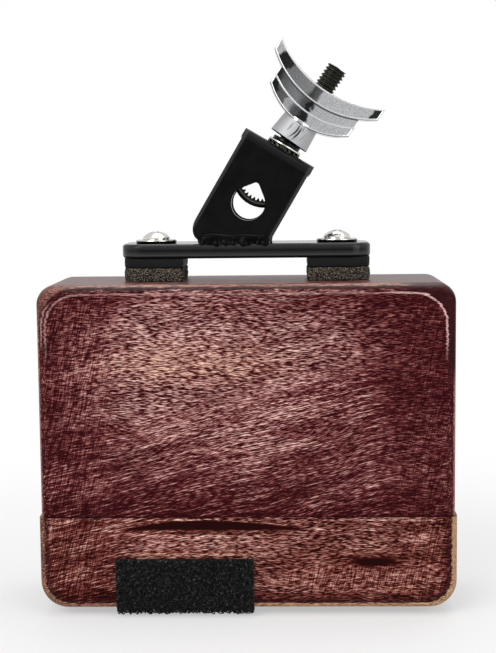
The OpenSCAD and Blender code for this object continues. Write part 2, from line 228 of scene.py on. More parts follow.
def dress(piece, body, nodes, look):
    """Fastens a finished piece to its body, in place of its nodes, with its finish."""
    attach(piece, body)
    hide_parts(*nodes)
    piece.data.materials.clear()
    piece.data.materials.append(look)
    size = [round(v / MM, 1) for v in piece.dimensions]
    print(f"{piece.name}: {len(piece.data.polygons)} faces, {size} mm")


# %% [markdown]
# ## Places from the frame
# The frame gives each node's lowest and highest corner. The levels of the block, the plate and
# the clamp follow from those, and the two tilted sets of axes follow from the joints.

# %% Levels and axes
upper_low, upper_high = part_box("main_block")
lower_low, lower_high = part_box("lower_block")
plate_low, plate_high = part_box("mounting_plate")
strap_low, strap_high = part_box("folded_bracket")
upper_mid = (upper_low + upper_high) / 2
plate_mid = (plate_low + plate_high) / 2

turn_joint = frame["joints"][0]
eye_middle = Vector(turn_joint["pos_m"])
bolt_axis = Vector(turn_joint["axis"])
bolt_tilt = math.atan2(bolt_axis.x, bolt_axis.z)
bolt_lean = math.radians(4.5)
strap_tilt = bolt_tilt - bolt_lean
eye_rise = 11.2 * MM
hole_middle = eye_middle - eye_rise * Vector((math.sin(strap_tilt), 0, math.cos(strap_tilt)))

on_bolt = Matrix.Translation(eye_middle) @ Matrix.Rotation(bolt_tilt, 4, "Y")
on_strap = Matrix.Translation(hole_middle) @ Matrix.Rotation(strap_tilt, 4, "Y")
print("rod hole at", [round(v / MM, 2) for v in hole_middle], "tilt", round(math.degrees(strap_tilt), 2))

# %% [markdown]
# ## The camera
# The photograph looks at the block from a little above, almost square on. The place, the turn
# and the focal length were worked out from the outline of the block, the plate and the clamp.

# %% Camera
camera_place = Vector((14.45, -512.43, 157.85)) * MM
camera_pitch = math.radians(6.036)
camera_yaw = math.radians(1.585)
camera_roll = math.radians(-0.573)
focal_pixels = 1383.7
picture_height = 653
sensor = 36.0

camera_data = bpy.data.cameras.new("photo_camera")
camera_data.sensor_fit = "VERTICAL"
camera_data.sensor_height = sensor
camera_data.lens = focal_pixels / picture_height * sensor
camera = bpy.data.objects.new("photo_camera", camera_data)
bpy.context.scene.collection.objects.link(camera)
look = Vector((
    -math.sin(camera_yaw) * math.cos(camera_pitch),
    math.cos(camera_yaw) * math.cos(camera_pitch),
    -math.sin(camera_pitch),
))
right = Vector((math.cos(camera_yaw), math.sin(camera_yaw), 0))
up = right.cross(look)
right, up = (
    math.cos(camera_roll) * right + math.sin(camera_roll) * up,
    -math.sin(camera_roll) * right + math.cos(camera_roll) * up,
)
turned = Matrix((right, up, -look)).transposed().to_4x4()
camera.matrix_world = Matrix.Translation(camera_place) @ turned
bpy.context.scene.camera = camera
print("camera lens", round(camera_data.lens, 2), "mm")

# %% [markdown]
# ## Finishes from nodes
# Every finish is a set of nodes on the piece's own Object coordinates, turned into millimetres,
# so a pattern stays on the piece when it moves. Most of the nodes do sums, and a sum reads best
# as plain arithmetic. So a Value stands for the output of a node, and adding or multiplying two
# values puts in the Math node that does it.

# %% Values that nodes work out
class Value:
    """A number or a colour that a node works out at every point of a surface."""

    def __init__(self, owner, socket):
        self.owner = owner
        self.socket = socket

    def __add__(self, other):
        return calc("ADD", self, other)

    def __sub__(self, other):
        return calc("SUBTRACT", self, other)

    def __rsub__(self, other):
        return calc("SUBTRACT", other, self)

    def __mul__(self, other):
        return calc("MULTIPLY", self, other)

    def __truediv__(self, other):
        return calc("DIVIDE", self, other)

    def __abs__(self):
        return calc("ABSOLUTE", self)

    __radd__ = __add__
    __rmul__ = __mul__


def feed(socket, value):
    """Gives a socket a number, a colour or a Value."""
    if isinstance(value, Value):
        socket.id_data.links.new(value.socket, socket)
    else:
        socket.default_value = value


def add(owner, kind, inputs=None, output=0, **settings):
    """A new node of a material or a world, given back as the Value of one of its outputs."""
    node = owner.node_tree.nodes.new("ShaderNode" + kind)
    for key, value in settings.items():
        setattr(node, key, value)
    for key, value in (inputs or {}).items():
        feed(node.inputs[key], value)
    return Value(owner, node.outputs[output])


def calc(operation, a, b=0.0):
    owner = a.owner if isinstance(a, Value) else b.owner
    return add(owner, "Math", {0: a, 1: b}, operation=operation)


# %% [markdown]
# A few sums come up again and again: the highest of several values, a distance, and a mask that
# rises or falls between two places. Soft ends keep a mask from drawing a hard line.

# %% Sums and masks
def highest(first, *others):
    for other in others:
        first = calc("MAXIMUM", first, other)
    return first


def distance(a, b):
    """How far a point lies from where both coordinates are nothing."""
    return calc("SQRT", a * a + b * b)


def split(vector):
    """The three parts of a vector."""
    outputs = add(vector.owner, "SeparateXYZ", {0: vector}).socket.node.outputs
    return [Value(vector.owner, output) for output in outputs]


def in_range(value, low, high, to_low=0.0, to_high=1.0):
    """The value's place between low and high, with soft ends."""
    inputs = {"Value": value, "From Min": low, "From Max": high, "To Min": to_low, "To Max": to_high}
    return add(value.owner, "MapRange", inputs, "Result", interpolation_type="SMOOTHSTEP")


def band(value, low, full, still_full, high):
    """A mask that rises from low to full, and falls again until high."""
    return in_range(value, low, full) * in_range(value, high, still_full)


# %% [markdown]
# A pattern needs to know where on the object a point lies and which way the surface looks
# there. Noise that is stretched along one direction makes grain and fibres.

# %% Places and patterns
def place_mm(material):
    """Where the point lies on the object, in millimetres, as X, Y and Z."""
    point = add(material, "TexCoord", output="Object")
    return split(add(material, "VectorMath", {0: point, "Scale": 1 / MM}, operation="SCALE"))


def sides(material):
    """How far the surface looks along X, Y and Z, each from -1 to 1."""
    return split(add(material, "TexCoord", output="Normal"))


def leaning(material, middle, tilt):
    """Coordinates of a leaning axis in millimetres: across to the right, and up along it."""
    x, _, z = place_mm(material)
    x, z = x - middle.x / MM, z - middle.z / MM
    return x * math.cos(tilt) - z * math.sin(tilt), x * math.sin(tilt) + z * math.cos(tilt)


def grain(x, y, z, detail=2.0, roughness=0.5, seed=0.0):
    """Noise on three coordinates, each already scaled as long or short as it should run."""
    point = add(x.owner, "CombineXYZ", {0: x, 1: y, 2: z})
    inputs = {"Vector": point, "W": seed, "Scale": 1.0, "Detail": detail, "Roughness": roughness}
    return add(x.owner, "TexNoise", inputs, "Fac", noise_dimensions="4D")


def mottle(place, per_mm, detail=2.0, roughness=0.5, seed=0.0):
    """Noise that is as fine in every direction."""
    return grain(*(part * per_mm for part in place), detail, roughness, seed)


# %% [markdown]
# Colours are written as a picture shows them, from 0 to 255, and `colour` turns them into the
# light that Blender works with. A ramp gives each place along a value its colour.

# %% Colours
def colour(red, green, blue):
    """A colour as a picture shows it, for a socket."""
    channels = [v / 255 for v in (red, green, blue)]
    return [v / 12.92 if v <= 0.04045 else ((v + 0.055) / 1.055) ** 2.4 for v in channels] + [1.0]


def gradient(factor, *stops):
    """A socket's colours along a factor, each with its place from 0 to 1."""
    shown = add(factor.owner, "ValToRGB", {"Fac": factor})
    elements = shown.socket.node.color_ramp.elements
    while len(elements) < len(stops):
        elements.new(0.5)
    for element, (position, value) in zip(elements, stops):
        element.position = position
        element.color = value
    return shown


def ramp(factor, *stops):
    """Colours along a factor, each stop written as its place, red, green and blue."""
    return gradient(factor, *((position, colour(*shade)) for position, *shade in stops))


def steps(factor, *stops):
    """Numbers along a factor, each with its place from 0 to 1."""
    return gradient(factor, *((position, (v, v, v, 1.0)) for position, v in stops))


print("a mid grey of 128 is", round(colour(128, 128, 128)[0], 3), "of full light")

# %% [markdown]
# Every material is built round one shader. `wire` gives it a finish's constants and values, and
# `relief` gives it bumps of a known depth.

# %% The shader
def blend(factor, first, second, mode="MIX"):
    inputs = {0: factor, 6: first, 7: second}
    return add(first.owner, "Mix", inputs, 2, data_type="RGBA", blend_type=mode)


def wire(material, **inputs):
    """Gives the material's shader constants and values."""
    shader = material.node_tree.nodes["Principled BSDF"]
    for key, value in inputs.items():
        feed(shader.inputs[key.replace("_", " ")], value)


def finish(name, **constants):
    material = bpy.data.materials.new(name)
    material.use_nodes = True
    wire(material, **constants)
    return material


def relief(height, depth_mm, strength=1.0):
    """Bump whose full height is a depth in millimetres."""
    inputs = {"Height": height, "Distance": depth_mm * MM, "Strength": strength}
    wire(height.owner, Normal=add(height.owner, "Bump", inputs))


# %% [markdown]
# ## Stained wood
# The wood was stained dark red, then sanded by hand. Sanding leaves short pale dashes along the
# grain, which rises to the right in the lower half of the upper board and at the left of the
# lower one. Near both ends a second set crosses it almost upright. So the finish adds noises
# that are stretched by different amounts, with masks for the places where the sanding went
# deeper or never reached, and turns the sum into colour with one ramp.

# %% Marks in the wood
block_half = (upper_high.x - upper_low.x) / 2 / MM
lower_half = (lower_high.x - lower_low.x) / 2 / MM
block_foot = lower_low.z / MM
block_top = upper_high.z / MM
seam = upper_low.z / MM
print("the boards meet", round(seam, 1), "mm up, and the block is", round(block_top, 1), "mm high")


def spot(x, z, middle_x, middle_z, half_x, half_z, soft=0.9):
    """A mask that is 1 inside an ellipse and fades out at its rim."""
    across = (x - middle_x) / half_x
    along = (z - middle_z) / half_z
    return in_range(across * across + along * along, 1.0 + soft, 1.0 - soft)


def patches(x, z, *spots):
    """The sum of spots, each written as its middle, half its width and height, and its weight."""
    total = 0.0
    for *ellipse, weight in spots:
        total += spot(x, z, *ellipse) * weight
    return total


def rim_distance(x, z, half_x, corner):
    """How far a point of the front lies inside a frame with wide corners, in millimetres."""
    out_x = abs(x) - (half_x - corner)
    out_z = abs(z - (block_top + block_foot) / 2) - ((block_top - block_foot) / 2 - corner)
    inner = calc("MINIMUM", highest(out_x, out_z), 0.0)
    return corner - (inner + distance(highest(out_x, 0.0), highest(out_z, 0.0)))


def dashes(along, y, across, long_mm, wide_mm, crisp, seed):
    """Dashes of one length and width, from -0.5 to 0.5; a small crisp makes their edges hard."""
    value = grain(along / long_mm, y / wide_mm, across / wide_mm, 1.0, 0.5, seed)
    return in_range(value, 0.5 - crisp, 0.5 + crisp, -0.5, 0.5)


# %% [markdown]
# Each board has its own zones. They say where the wood is paler or darker, where it is golden,
# where the dashes rise, where the sanding left no marks, and where a second set crosses.

# %% Zones of the two boards
def upper_zones(x, z):
    """Light, gold, rising, still and crossed, in that order. This board has no still place."""
    light = patches(x, z, (-12, 90, 52, 30, 0.24), (-18, 92, 30, 7, 0.1), (76, 102, 30, 40, -0.08),
                    (-16, 115, 50, 7, -0.05))
    light += in_range(z, seam + 12, seam + 3, 0.0, -0.07) + in_range(x, -56, -70, 0.0, -0.04)
    light += in_range(z, seam + 2.2, seam + 1.2, 0.0, -0.1) + in_range(z, 119, 117.6, 0.0, -0.06)
    gold = spot(x, z, -18, 93, 34, 8)
    rising = in_range(z - x * 0.25, 88, 70) * in_range(x, 62, 40)
    return light, gold, rising, 0.0, 0.0


def lower_zones(x, z):
    """The same, with the hollow under the joint, the dark oval and the dark foot. The first two
    are still."""
    bow = (x + 20) / in_range(x, -22, -18, 28, 46)
    hollow_top = 35.6 - bow * bow * 3.9
    hollow = in_range(hollow_top - z, -0.2, 0.4) * in_range(z, 31.7, 32.9)
    oval = spot(x, z, 45.6, 20.3, 7.4, 1.5, 0.8)
    foot = band(z, 4.9, 5.7, 8.0, 9.6)
    light = hollow * -0.4 + oval * -0.3 + foot * -0.14 + in_range(x, 69, 72, 0.0, -0.12)
    light += patches(
        x, z, (42, 14, 34, 6, 0.05), (-16, 29.9, 20, 0.6, 0.2), (19, 29.4, 5, 0.4, 0.3),
        (-18, 23.2, 28, 0.6, 0.24), (-22, 36.0, 13, 0.25, 0.34), (54, 35.7, 21, 0.25, 0.3),
        (25, 32.4, 5, 0.25, 0.34), (38, 32.0, 9, 0.3, 0.22), (48, 29, 24, 3, 0.06),
        (-12, 26.5, 36, 2.4, 0.05), (43.5, 25.2, 7, 1.4, 0.1), (-58, 20, 20, 15, -0.07),
        (-40, 28.5, 34, 5, 0.1), (-14, 31.2, 24, 0.8, -0.1), (46, 19.5, 13, 3.4, -0.08),
        (-60, 8, 18, 2.4, -0.14), (-66, 28, 14, 9, -0.05),
    )
    gold = highest(spot(x, z, 35, 20, 9, 4), spot(x, z, 56, 10.6, 6, 3),
                   spot(x, z, -18, 23.2, 30, 1.0), spot(x, z, 40, 18, 32, 9) * 0.4)
    return light, gold, in_range(x, -12, -40), highest(hollow, oval), spot(x, z, 41, 14.5, 30, 5)


# %% [markdown]
# The rims are worn pale where hands and stands rub them. The upper board has a dark line inside
# its worn rim, and a thin pale halo just inside the rounded edge.

# %% Rims of the two boards
def upper_rim(x, z, rim):
    """Where the rim is dark, where it is worn, and where the pale halo follows it."""
    unworn = in_range(x, 50, 62) * in_range(z, 82, 92)
    worn = in_range(rim, 1.1, 0.6) * (1 - unworn) * (1 - spot(x, z, -71, 117, 10, 9) * 0.65)
    line = band(rim, 0.6, 1.0, 1.5, 2.2)
    line *= in_range(z, 104, 116, 0.3, 0.85) * in_range(x, -64, -68, 1.0, 0.35)
    dark = highest(line, unworn * in_range(rim, 3.0, 2.7) * 0.8)
    halo = band(rim, 2.9, 3.15, 3.55, 3.9) * in_range(z, 92, 104) * in_range(x, 46, 60, 0.45, 1.0)
    pale = band(rim, 1.4, 1.7, 2.0, 2.4) * in_range(x, -60, -70)
    pale *= in_range(z, 97, 103, 0.0, 0.55) * in_range(z, 116, 112)
    return dark, worn, highest(halo, pale)


def lower_rim(x, z, rim):
    """The same for the lower board, which has no halo."""
    plain = in_range(x, -66, -70) * in_range(z, 12, 15) * 0.65
    worn = in_range(rim, 2.4, 1.8) * in_range(x, -40, 6, 0.4, 0.95) * (1 - plain)
    dark = band(rim, 2.0, 2.5, 3.6, 4.4) * 0.6
    return dark, worn, 0.0


# %% [markdown]
# The stain runs through six colours from the darkest to the palest wood. Short dashes, long
# streaks, wide waves and the upright set are added with their weights, and the sum picks the
# colour. The varnish shines most where the wood looks up.

# %% Wood finish
upper_stain = ((0.0, 42, 8, 12), (0.2, 64, 17, 22), (0.4, 99, 46, 47),
               (0.6, 142, 92, 88), (0.8, 190, 146, 140), (1.0, 226, 190, 180))
upper_worn = ((0.0, 84, 54, 46), (1.0, 196, 146, 128))
lower_stain = ((0.0, 32, 8, 7), (0.2, 60, 17, 14), (0.4, 98, 43, 37),
               (0.6, 143, 87, 79), (0.8, 192, 144, 134), (1.0, 226, 188, 174))
lower_worn = ((0.0, 112, 74, 54), (1.0, 224, 186, 146))


def stained_wood(name, zones, rim_zones, half, corner, level, stain_stops, worn_stops):
    """Stained and sanded wood; level is how pale the board is on the whole."""
    material = finish(name)
    x, y, z = place_mm(material)
    level_z = z - mottle((x, y, z), 1 / 30, detail=1.0, seed=3.1) * 5
    rise_x = x * 0.97 + z * 0.24
    rise_z = level_z * 0.97 - x * 0.24
    lean_x = x - z * 0.25
    light, gold, rising, still, crossed = zones(x, z)

    flat_marks = dashes(x, y, level_z, 2.4, 0.25, 0.14, 1.0)
    risen_marks = dashes(rise_x, y, rise_z, 2.4, 0.25, 0.14, 6.0)
    fine = flat_marks + (risen_marks - flat_marks) * rising * 0.75
    streak = in_range(dashes(rise_x, y, rise_z, 24.0, 0.42, 0.2, 7.0), 0.0, 0.5)
    medium = dashes(x, y, level_z, 7.0, 0.9, 0.22, 2.0)
    broad = dashes(rise_x, y, rise_z, 36.0, 7.0, 0.3, 4.0)
    upright = dashes(z, y, lean_x, 4.5, 0.32, 0.15, 5.0)
    crossing = highest(in_range(x, -40, -62), in_range(x, 46, 66, 0.0, 0.7), crossed)
    marks = fine * (0.65 - crossing * 0.2) + upright * crossing * 0.3
    marks += medium * 0.2 + broad * 0.14 + streak * (rising * 0.8 + 0.2) * 0.32
    marks *= in_range(light, -0.16, 0.3, 1.15, 1.5) * (1 - still * 0.85)
    total = marks + light + level
    stain = ramp(total, *stain_stops)
    stain = blend(gold * 0.4, stain, (1.0, 0.88, 0.62, 1.0), "MULTIPLY")

    _, front, top = sides(material)
    facing = in_range(abs(front), 0.03, 0.3)
    dark, worn, halo = rim_zones(x, z, rim_distance(x, z, half, corner) + medium * 0.5)
    spark = fine + 0.5
    stain = blend(halo * facing * (spark * 0.7 + 0.25), stain, colour(226, 184, 178))
    stain = blend(dark * facing, stain, colour(44, 18, 20))
    stain = blend(worn * facing * 0.85, stain, ramp(spark, *worn_stops))
    wire(material, Base_Color=stain, Roughness=in_range(total, 0.1, 0.8, 0.3, 0.55),
         Specular_IOR_Level=in_range(top, 0.2, 0.9, 0.02, 0.45))
    relief(marks - still * 0.3, 0.05, 0.5)
    return material


wood_upper_finish = stained_wood("stained_wood", upper_zones, upper_rim, block_half, 15.0, 0.225,
                                 upper_stain, upper_worn)
wood_lower_finish = stained_wood("stained_wood_lower", lower_zones, lower_rim, lower_half, 12.0, 0.29,
                                 lower_stain, lower_worn)
for wood in (wood_upper_finish, wood_lower_finish):
    print(wood.name, "has", len(wood.node_tree.nodes), "nodes")

# %% [markdown]
# ## The upper board
# A board is a cube with rounded far corners and rounded long edges. The corners are bevelled
# first, because the edge rounding has to run round them. A step at the joint leaves the shadow
# line, and the tone slot is cut out with a long bar that has a round back.

# %% Model the upper board
edge_round = 3.5 * MM
top_corner = 7.0 * MM
bottom_corner = 10.0 * MM
line_h = 0.6 * MM
line_depth = 0.9 * MM
strike_t = 10.0 * MM
slot_w = 8.0 * MM
slot_roof = 18.0 * MM
cut_past = 2.0 * MM


def board(name, low, high, corner, corner_z):
    """A cube from low to high, rounded at the corners at one level and along both faces."""
    piece = cube(name, (low + high) / 2, high - low)
    shape(piece, "EDGE")
    pick_edges(piece, lambda a, b: near(corner_z, a.z, b.z) and near(a.x, b.x))
    bevel(corner, 12)
    joint_z = low.z + high.z - corner_z
    for face_y in (low.y, high.y):
        pick_edges(piece, lambda a, b: near(face_y, a.y, b.y) and not near(joint_z, a.z, b.z))
        bevel(edge_round, 8)
    return piece


board_low = Vector((upper_low.x, upper_low.y, upper_low.z + line_h))
upper_wood = board("upper_wood", board_low, upper_high, top_corner, upper_high.z)
bpy.ops.mesh.select_mode(type="FACE")
pick_faces(upper_wood, lambda c, n: n.z < -0.9)
bpy.ops.mesh.inset(thickness=line_depth)
bpy.ops.mesh.extrude_region_move(TRANSFORM_OT_translate={"value": (0, 0, -line_h)})
leave()

slot_top = upper_high.z - slot_roof
slot_low_z = upper_low.z - cut_past
slot_mid_y = upper_low.y + strike_t + slot_w / 2
slot_bar = cube("slot_bar", (upper_mid.x, slot_mid_y, (slot_top + slot_low_z) / 2),
                (upper_high.x - upper_low.x + 2 * cut_past, slot_w, slot_top - slot_low_z))
shape(slot_bar, "EDGE")
pick_edges(slot_bar, lambda a, b: near(slot_top, a.z, b.z) and near(a.y, b.y))
bevel(0.499 * slot_w, 10)
leave()
combine(upper_wood, slot_bar)
smooth(upper_wood)
dress(upper_wood, "root", ["main_block"], wood_upper_finish)

# %% [markdown]
# ## The lower board
# The lower board is the same shape upside down. Where it meets the joint, sanding missed a long
# shallow hollow, which is cut with the side of a very wide cone.

# %% Model the lower board
hollow_x = 1.0 * MM
hollow_half = 31.0 * MM
hollow_drop = 3.3 * MM
hollow_depth = 0.7 * MM
hollow_r = (hollow_half ** 2 + hollow_drop ** 2) / (2 * hollow_drop)
hollow_slope = hollow_drop / hollow_depth

lower_wood = board("lower_wood", lower_low, lower_high, bottom_corner, lower_low.z)
leave()
bpy.ops.mesh.primitive_cone_add(
    vertices=512, radius1=hollow_r + MM * hollow_slope, radius2=hollow_r - hollow_drop - MM * hollow_slope,
    depth=hollow_depth + 2 * MM, rotation=(-math.pi / 2, 0, 0),
    location=(hollow_x, lower_low.y + hollow_depth / 2, lower_high.z - hollow_drop + hollow_r),
)
combine(lower_wood, start("hollow"))
smooth(lower_wood)
dress(lower_wood, "root", ["lower_block"], wood_lower_finish)

# %% [markdown]
# ## Black paint
# The plate and the strap carry one coat of glossy black paint. It flows a little before it
# sets, so its surface has a low, wide unevenness, with a few specks of dust in it. It mirrors
# the room most where it looks up, and grey bands along edges are painted in as reflections.

# %% Paint finish
def black_paint(name, gloss=1.0, painted_reflection=None):
    """Black paint; the optional function gives where grey is painted in as a reflection."""
    material = finish(name)
    place = place_mm(material)
    flow = mottle(place, 0.2, detail=1.0, seed=1.0)
    dust = mottle(place, 2.6, seed=2.0)
    base = ramp(flow, (0.3, 5, 5, 6), (0.7, 11, 11, 12))
    if painted_reflection:
        # grey painted in as reflections, where the function gives it
        base = blend(painted_reflection(material), base, colour(78, 78, 79))
    end, _, top = sides(material)
    mirror = highest(in_range(top, 0.2, 0.97, 0.1, 0.42), in_range(top, 0.985, 0.995, 0.0, 0.85),
                     in_range(abs(end), 0.04, 0.3, 0.1, 0.2))
    wire(material, Base_Color=base, Roughness=in_range(dust, 0.35, 0.8, 0.1, 0.22),
         Specular_IOR_Level=mirror * gloss)
    relief(flow + dust * 0.02, 0.12, 0.5)
    return material


# %% [markdown]
# ## The mounting plate
# A flat bar with rounded corners and two screw holes. Its rims are eased as paint leaves them,
# which draws the long thin highlights along the plate. The coat hangs a little lower than the
# steel.

# %% Model the plate
plate_corner = 8.0 * MM
screw_span = 67.0 * MM
hole_room = 5.5 * MM
coat = 0.3 * MM
screw_places = [plate_mid.x + side * screw_span / 2 for side in (-1, 1)]

coat_hang = Vector((0, 0, coat))
plate = cube("steel_plate", plate_mid - coat_hang / 2, plate_high - plate_low + coat_hang)
shape(plate, "EDGE")
pick_edges(plate, lambda a, b: near(a.x, b.x) and near(a.y, b.y))
bevel(plate_corner, 14)
leave()
for screw_x in screw_places:
    drill(plate, screw_x, plate_mid.y, hole_room / 2, plate_low.z - MM, plate_high.z + MM)
ease(plate, 1.3 * MM, 6)
smooth(plate)


def plate_reflections(material):
    """Grey reflections are painted along two lines of the plate's wall."""
    band_mm = 5.4
    return steps(
        (place_mm(material)[2] - plate_high.z / MM) / band_mm + 1,
        (0.0, 0.0), (0.17, 0.05), (0.22, 0.5), (0.27, 0.5), (0.33, 0.28), (0.42, 0.2), (0.52, 0.02),
        (0.6, 0.05), (0.68, 0.16), (0.74, 0.27), (0.88, 0.27), (0.93, 0.04), (1.0, 0.0),
    )


dress(plate, "root", ["mounting_plate"], black_paint("plate_paint", 1.0, plate_reflections))

# %% [markdown]
# ## The folded strap
# The clamp's body is one steel strap folded over at the top. A box without ends or foot,
# rounded along its two top edges, becomes the strap when it gets a wall. The foot is then cut
# along the plate, the toe rounded, and the rod hole with its vee cut through both cheeks.

# %% Model the strap
strap_w = 27.5 * MM
strap_t = 3.0 * MM
strap_d = strap_high.y - strap_low.y
strap_rise = 23.3 * MM
bend_r = 4.5 * MM
toe_r = 6.4 * MM
swell = 0.5 * MM
foot_drop = 40.0 * MM

strap = cube("folded_strap", (0, 0, (strap_rise - foot_drop) / 2), (strap_w, strap_d, strap_rise + foot_drop))
shape(strap)
pick_faces(strap, lambda c, n: n.z < -0.9 or abs(n.x) > 0.9)
bpy.ops.mesh.delete(type="FACE")
bpy.ops.mesh.select_mode(type="EDGE")
pick_edges(strap, lambda a, b: near(strap_rise, a.z, b.z) and near(a.y, b.y))
bevel(bend_r, 8)
for level in (1.3, 0.7):
    slice_off((0, 0, strap_rise - level * bend_r), (0, 0, 1), fill=False)
bpy.ops.mesh.select_mode(type="VERT")
net = bmesh.from_edit_mesh(strap.data)
for vertex in net.verts:
    vertex.select_set(vertex.co.z > strap_rise - 0.8 * bend_r)
bmesh.update_edit_mesh(strap.data)
bpy.ops.transform.resize(value=((strap_w / 2 + swell) / (strap_w / 2), 1, 1))
leave()
modify(strap, "SOLIDIFY", thickness=strap_t, offset=-1.0, use_even_offset=True)
print("strap, upright:", [round(v / MM, 1) for v in strap.dimensions], "mm")

# %% [markdown]
# The foot is cut in the plate's own level, so the strap is first turned to its lean. The toe is
# the sharp corner that this leaves at the left. Its bevel starts where a circle of the toe's
# radius touches both sides of the corner.

# %% Cut the foot and the toe
settle(strap, on_strap)
shape(strap, "VERT")
slice_off((0, 0, plate_high.z), (0, 0, 1), clear_inner=True)
leave()
toe_reach = toe_r / math.tan((math.pi / 2 - strap_tilt) / 2) * 0.98


def at_toe(a, b):
    """The two ends of the foot at the left, one for each cheek."""
    return near(plate_high.z, a.z, b.z) and near(a.x, b.x) and a.x < hole_middle.x - 10 * MM


shape(strap, "EDGE")
pick_edges(strap, at_toe)
bevel(toe_reach, 12)
leave()
print("the toe's rounding starts", round(toe_reach / MM, 2), "mm from its corner")

# %% [markdown]
# The cutter for the rod hole is a round bar with a square bar beside it on edge. The square's
# corner points along the bolt and makes the vee that grips the rod.

# %% Cut the rod hole and the bolt's hole
hole_r = 6.15 * MM
hole_tip = 1.5 * MM
bolt_hole = 5.25 * MM
vee_tilt = math.radians(24.5)
cut_run = 2 * strap_d

round_bar = disc("round_bar", hole_r, cut_run, 72)
vee_bar = cube("vee_bar", (hole_r / 2, 0, hole_r / 2), (hole_r, 0.9 * cut_run, hole_r))
shape(vee_bar, "EDGE")
pick_edges(vee_bar, lambda a, b: near(hole_r, a.x, b.x, a.z, b.z))
bevel(hole_tip, 8)
leave()
settle(vee_bar, Matrix.Translation(hole_middle) @ Matrix.Rotation(vee_tilt - math.pi / 4, 4, "Y"))
settle(round_bar, on_strap)
combine(strap, vee_bar)
combine(strap, round_bar)
bolt_bar = cylinder("bolt_bar", bolt_hole, strap_rise, (0, 0, strap_rise), 56)
settle(bolt_bar, on_strap)
combine(strap, bolt_bar)
ease(strap, 1.0 * MM, 5, 40)
smooth(strap)


def strap_edge_reflections(material):
    """Grey reflections are painted along the strap's two sides."""
    across, _ = leaning(material, hole_middle, strap_tilt)
    return in_range(abs(across), 12.3, 12.9, 0.0, 0.35)


dress(strap, "root", ["folded_bracket"], black_paint("strap_paint", 1.0, strap_edge_reflections))

# %% [markdown]
# ## The welds
# Each cheek is welded to the plate with one run of drops that flowed into each other, and the
# paint over them rounds them further. Large drops fill the corner, and small ones hang over the
# plate's edge. They are fused by a remesh, then smoothed, which keeps the lumps but no creases.

# %% Model the weld runs
weld_low, weld_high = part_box("weld_beads")
drop_r = 3.1 * MM
drop_sink = 1.3 * MM
drop_rise = 1.25 * MM
drip_r = 1.9 * MM
drip_past = 1.4 * MM
drip_out = 0.6 * MM
drip_sink = 0.1 * MM
rng = np.random.default_rng(11)


def drops(name, count, from_x, to_x, y, z, radius, spread):
    """A row of balls of uneven size along X."""
    balls = []
    for x in np.linspace(from_x, to_x, count):
        size = radius * (1 - spread * rng.random())
        bpy.ops.mesh.primitive_uv_sphere_add(
            segments=20, ring_count=12, radius=size, scale=(1.1, 1, 1),
            location=(x + 0.5 * MM * rng.uniform(-1, 1), y, z + 0.3 * MM * rng.uniform(-1, 0.6)),
        )
        balls.append(start(name))
    return balls


def weld_run(name, side):
    cheek_y = plate_mid.y + side * strap_d / 2
    from_x, to_x = weld_low.x + drop_r, weld_high.x - drop_r
    balls = drops(name, 11, from_x, to_x, cheek_y - side * drop_sink, plate_high.z + drop_rise, drop_r, 0.14)
    balls += drops(name, 9, from_x - drip_past, to_x + drip_past, cheek_y + side * drip_out,
                   plate_high.z - drip_sink, drip_r, 0.3)
    run = join(balls[0], *balls[1:])
    run.name = name
    return run


welds = join(weld_run("weld_runs", -1), weld_run("back_run", 1))
modify(welds, "REMESH", mode="VOXEL", voxel_size=0.22 * MM)
modify(welds, "SMOOTH", factor=0.8, iterations=40)
smooth(welds, 60)
dress(welds, "root", ["weld_beads"], black_paint("weld_paint", 0.25))

# %% [markdown]
# ## Threads
# A screw thread is a vee that climbs as it turns. The Screw modifier draws just that from a
# short zigzag of five points, and the ends are cut off square.

# %% A threaded shank
def threaded_shank(name, radius, pitch, depth, low, high):
    """A shank along Z from low to high with a real helical thread."""
    turns = math.ceil((high - low) / pitch) + 2
    root = radius - depth
    crest = 0.18 * pitch
    profile = [(root, 0.0), (root, 0.12 * pitch), (radius, 0.5 * pitch - crest / 2),
               (radius, 0.5 * pitch + crest / 2), (root, pitch)]
    bpy.ops.mesh.primitive_plane_add(size=pitch)
    shank = start(name)
    shape(shank, "VERT")
    bpy.ops.mesh.select_all(action="SELECT")
    bpy.ops.mesh.delete(type="VERT")
    leave()
    shank.data.from_pydata([(r, 0, h) for r, h in profile], [(i, i + 1) for i in range(4)], [])
    modify(shank, "SCREW", axis="Z", angle=2 * math.pi, screw_offset=pitch, iterations=turns,
           steps=32, render_steps=32, use_merge_vertices=True, merge_threshold=0.002 * MM)
    settle(shank, Matrix.Translation((0, 0, low - pitch)))
    shape(shank, "VERT")
    for level, clear in ((low, "clear_inner"), (high, "clear_outer")):
        bpy.ops.mesh.select_all(action="SELECT")
        bpy.ops.mesh.remove_doubles(threshold=0.004 * MM)
        slice_off((0, 0, level), (0, 0, 1), **{clear: True})
    bpy.ops.mesh.select_all(action="SELECT")
    bpy.ops.mesh.normals_make_consistent(inside=False)
    leave()
    return shank


# %% [markdown]
# ## The eyebolt
# A forged eye, flat at its shoulders, with thirteen teeth along the lower arc of its opening,
# and a threaded shank that comes up through the strap. The steel is blackened, a matt finish.
# A thin pale ring is painted on as a highlight where the eye's outer bevel begins, and below
# the shoulders the bevel is painted dark as shade.

# %% Steel finish
shoulder_z = 158


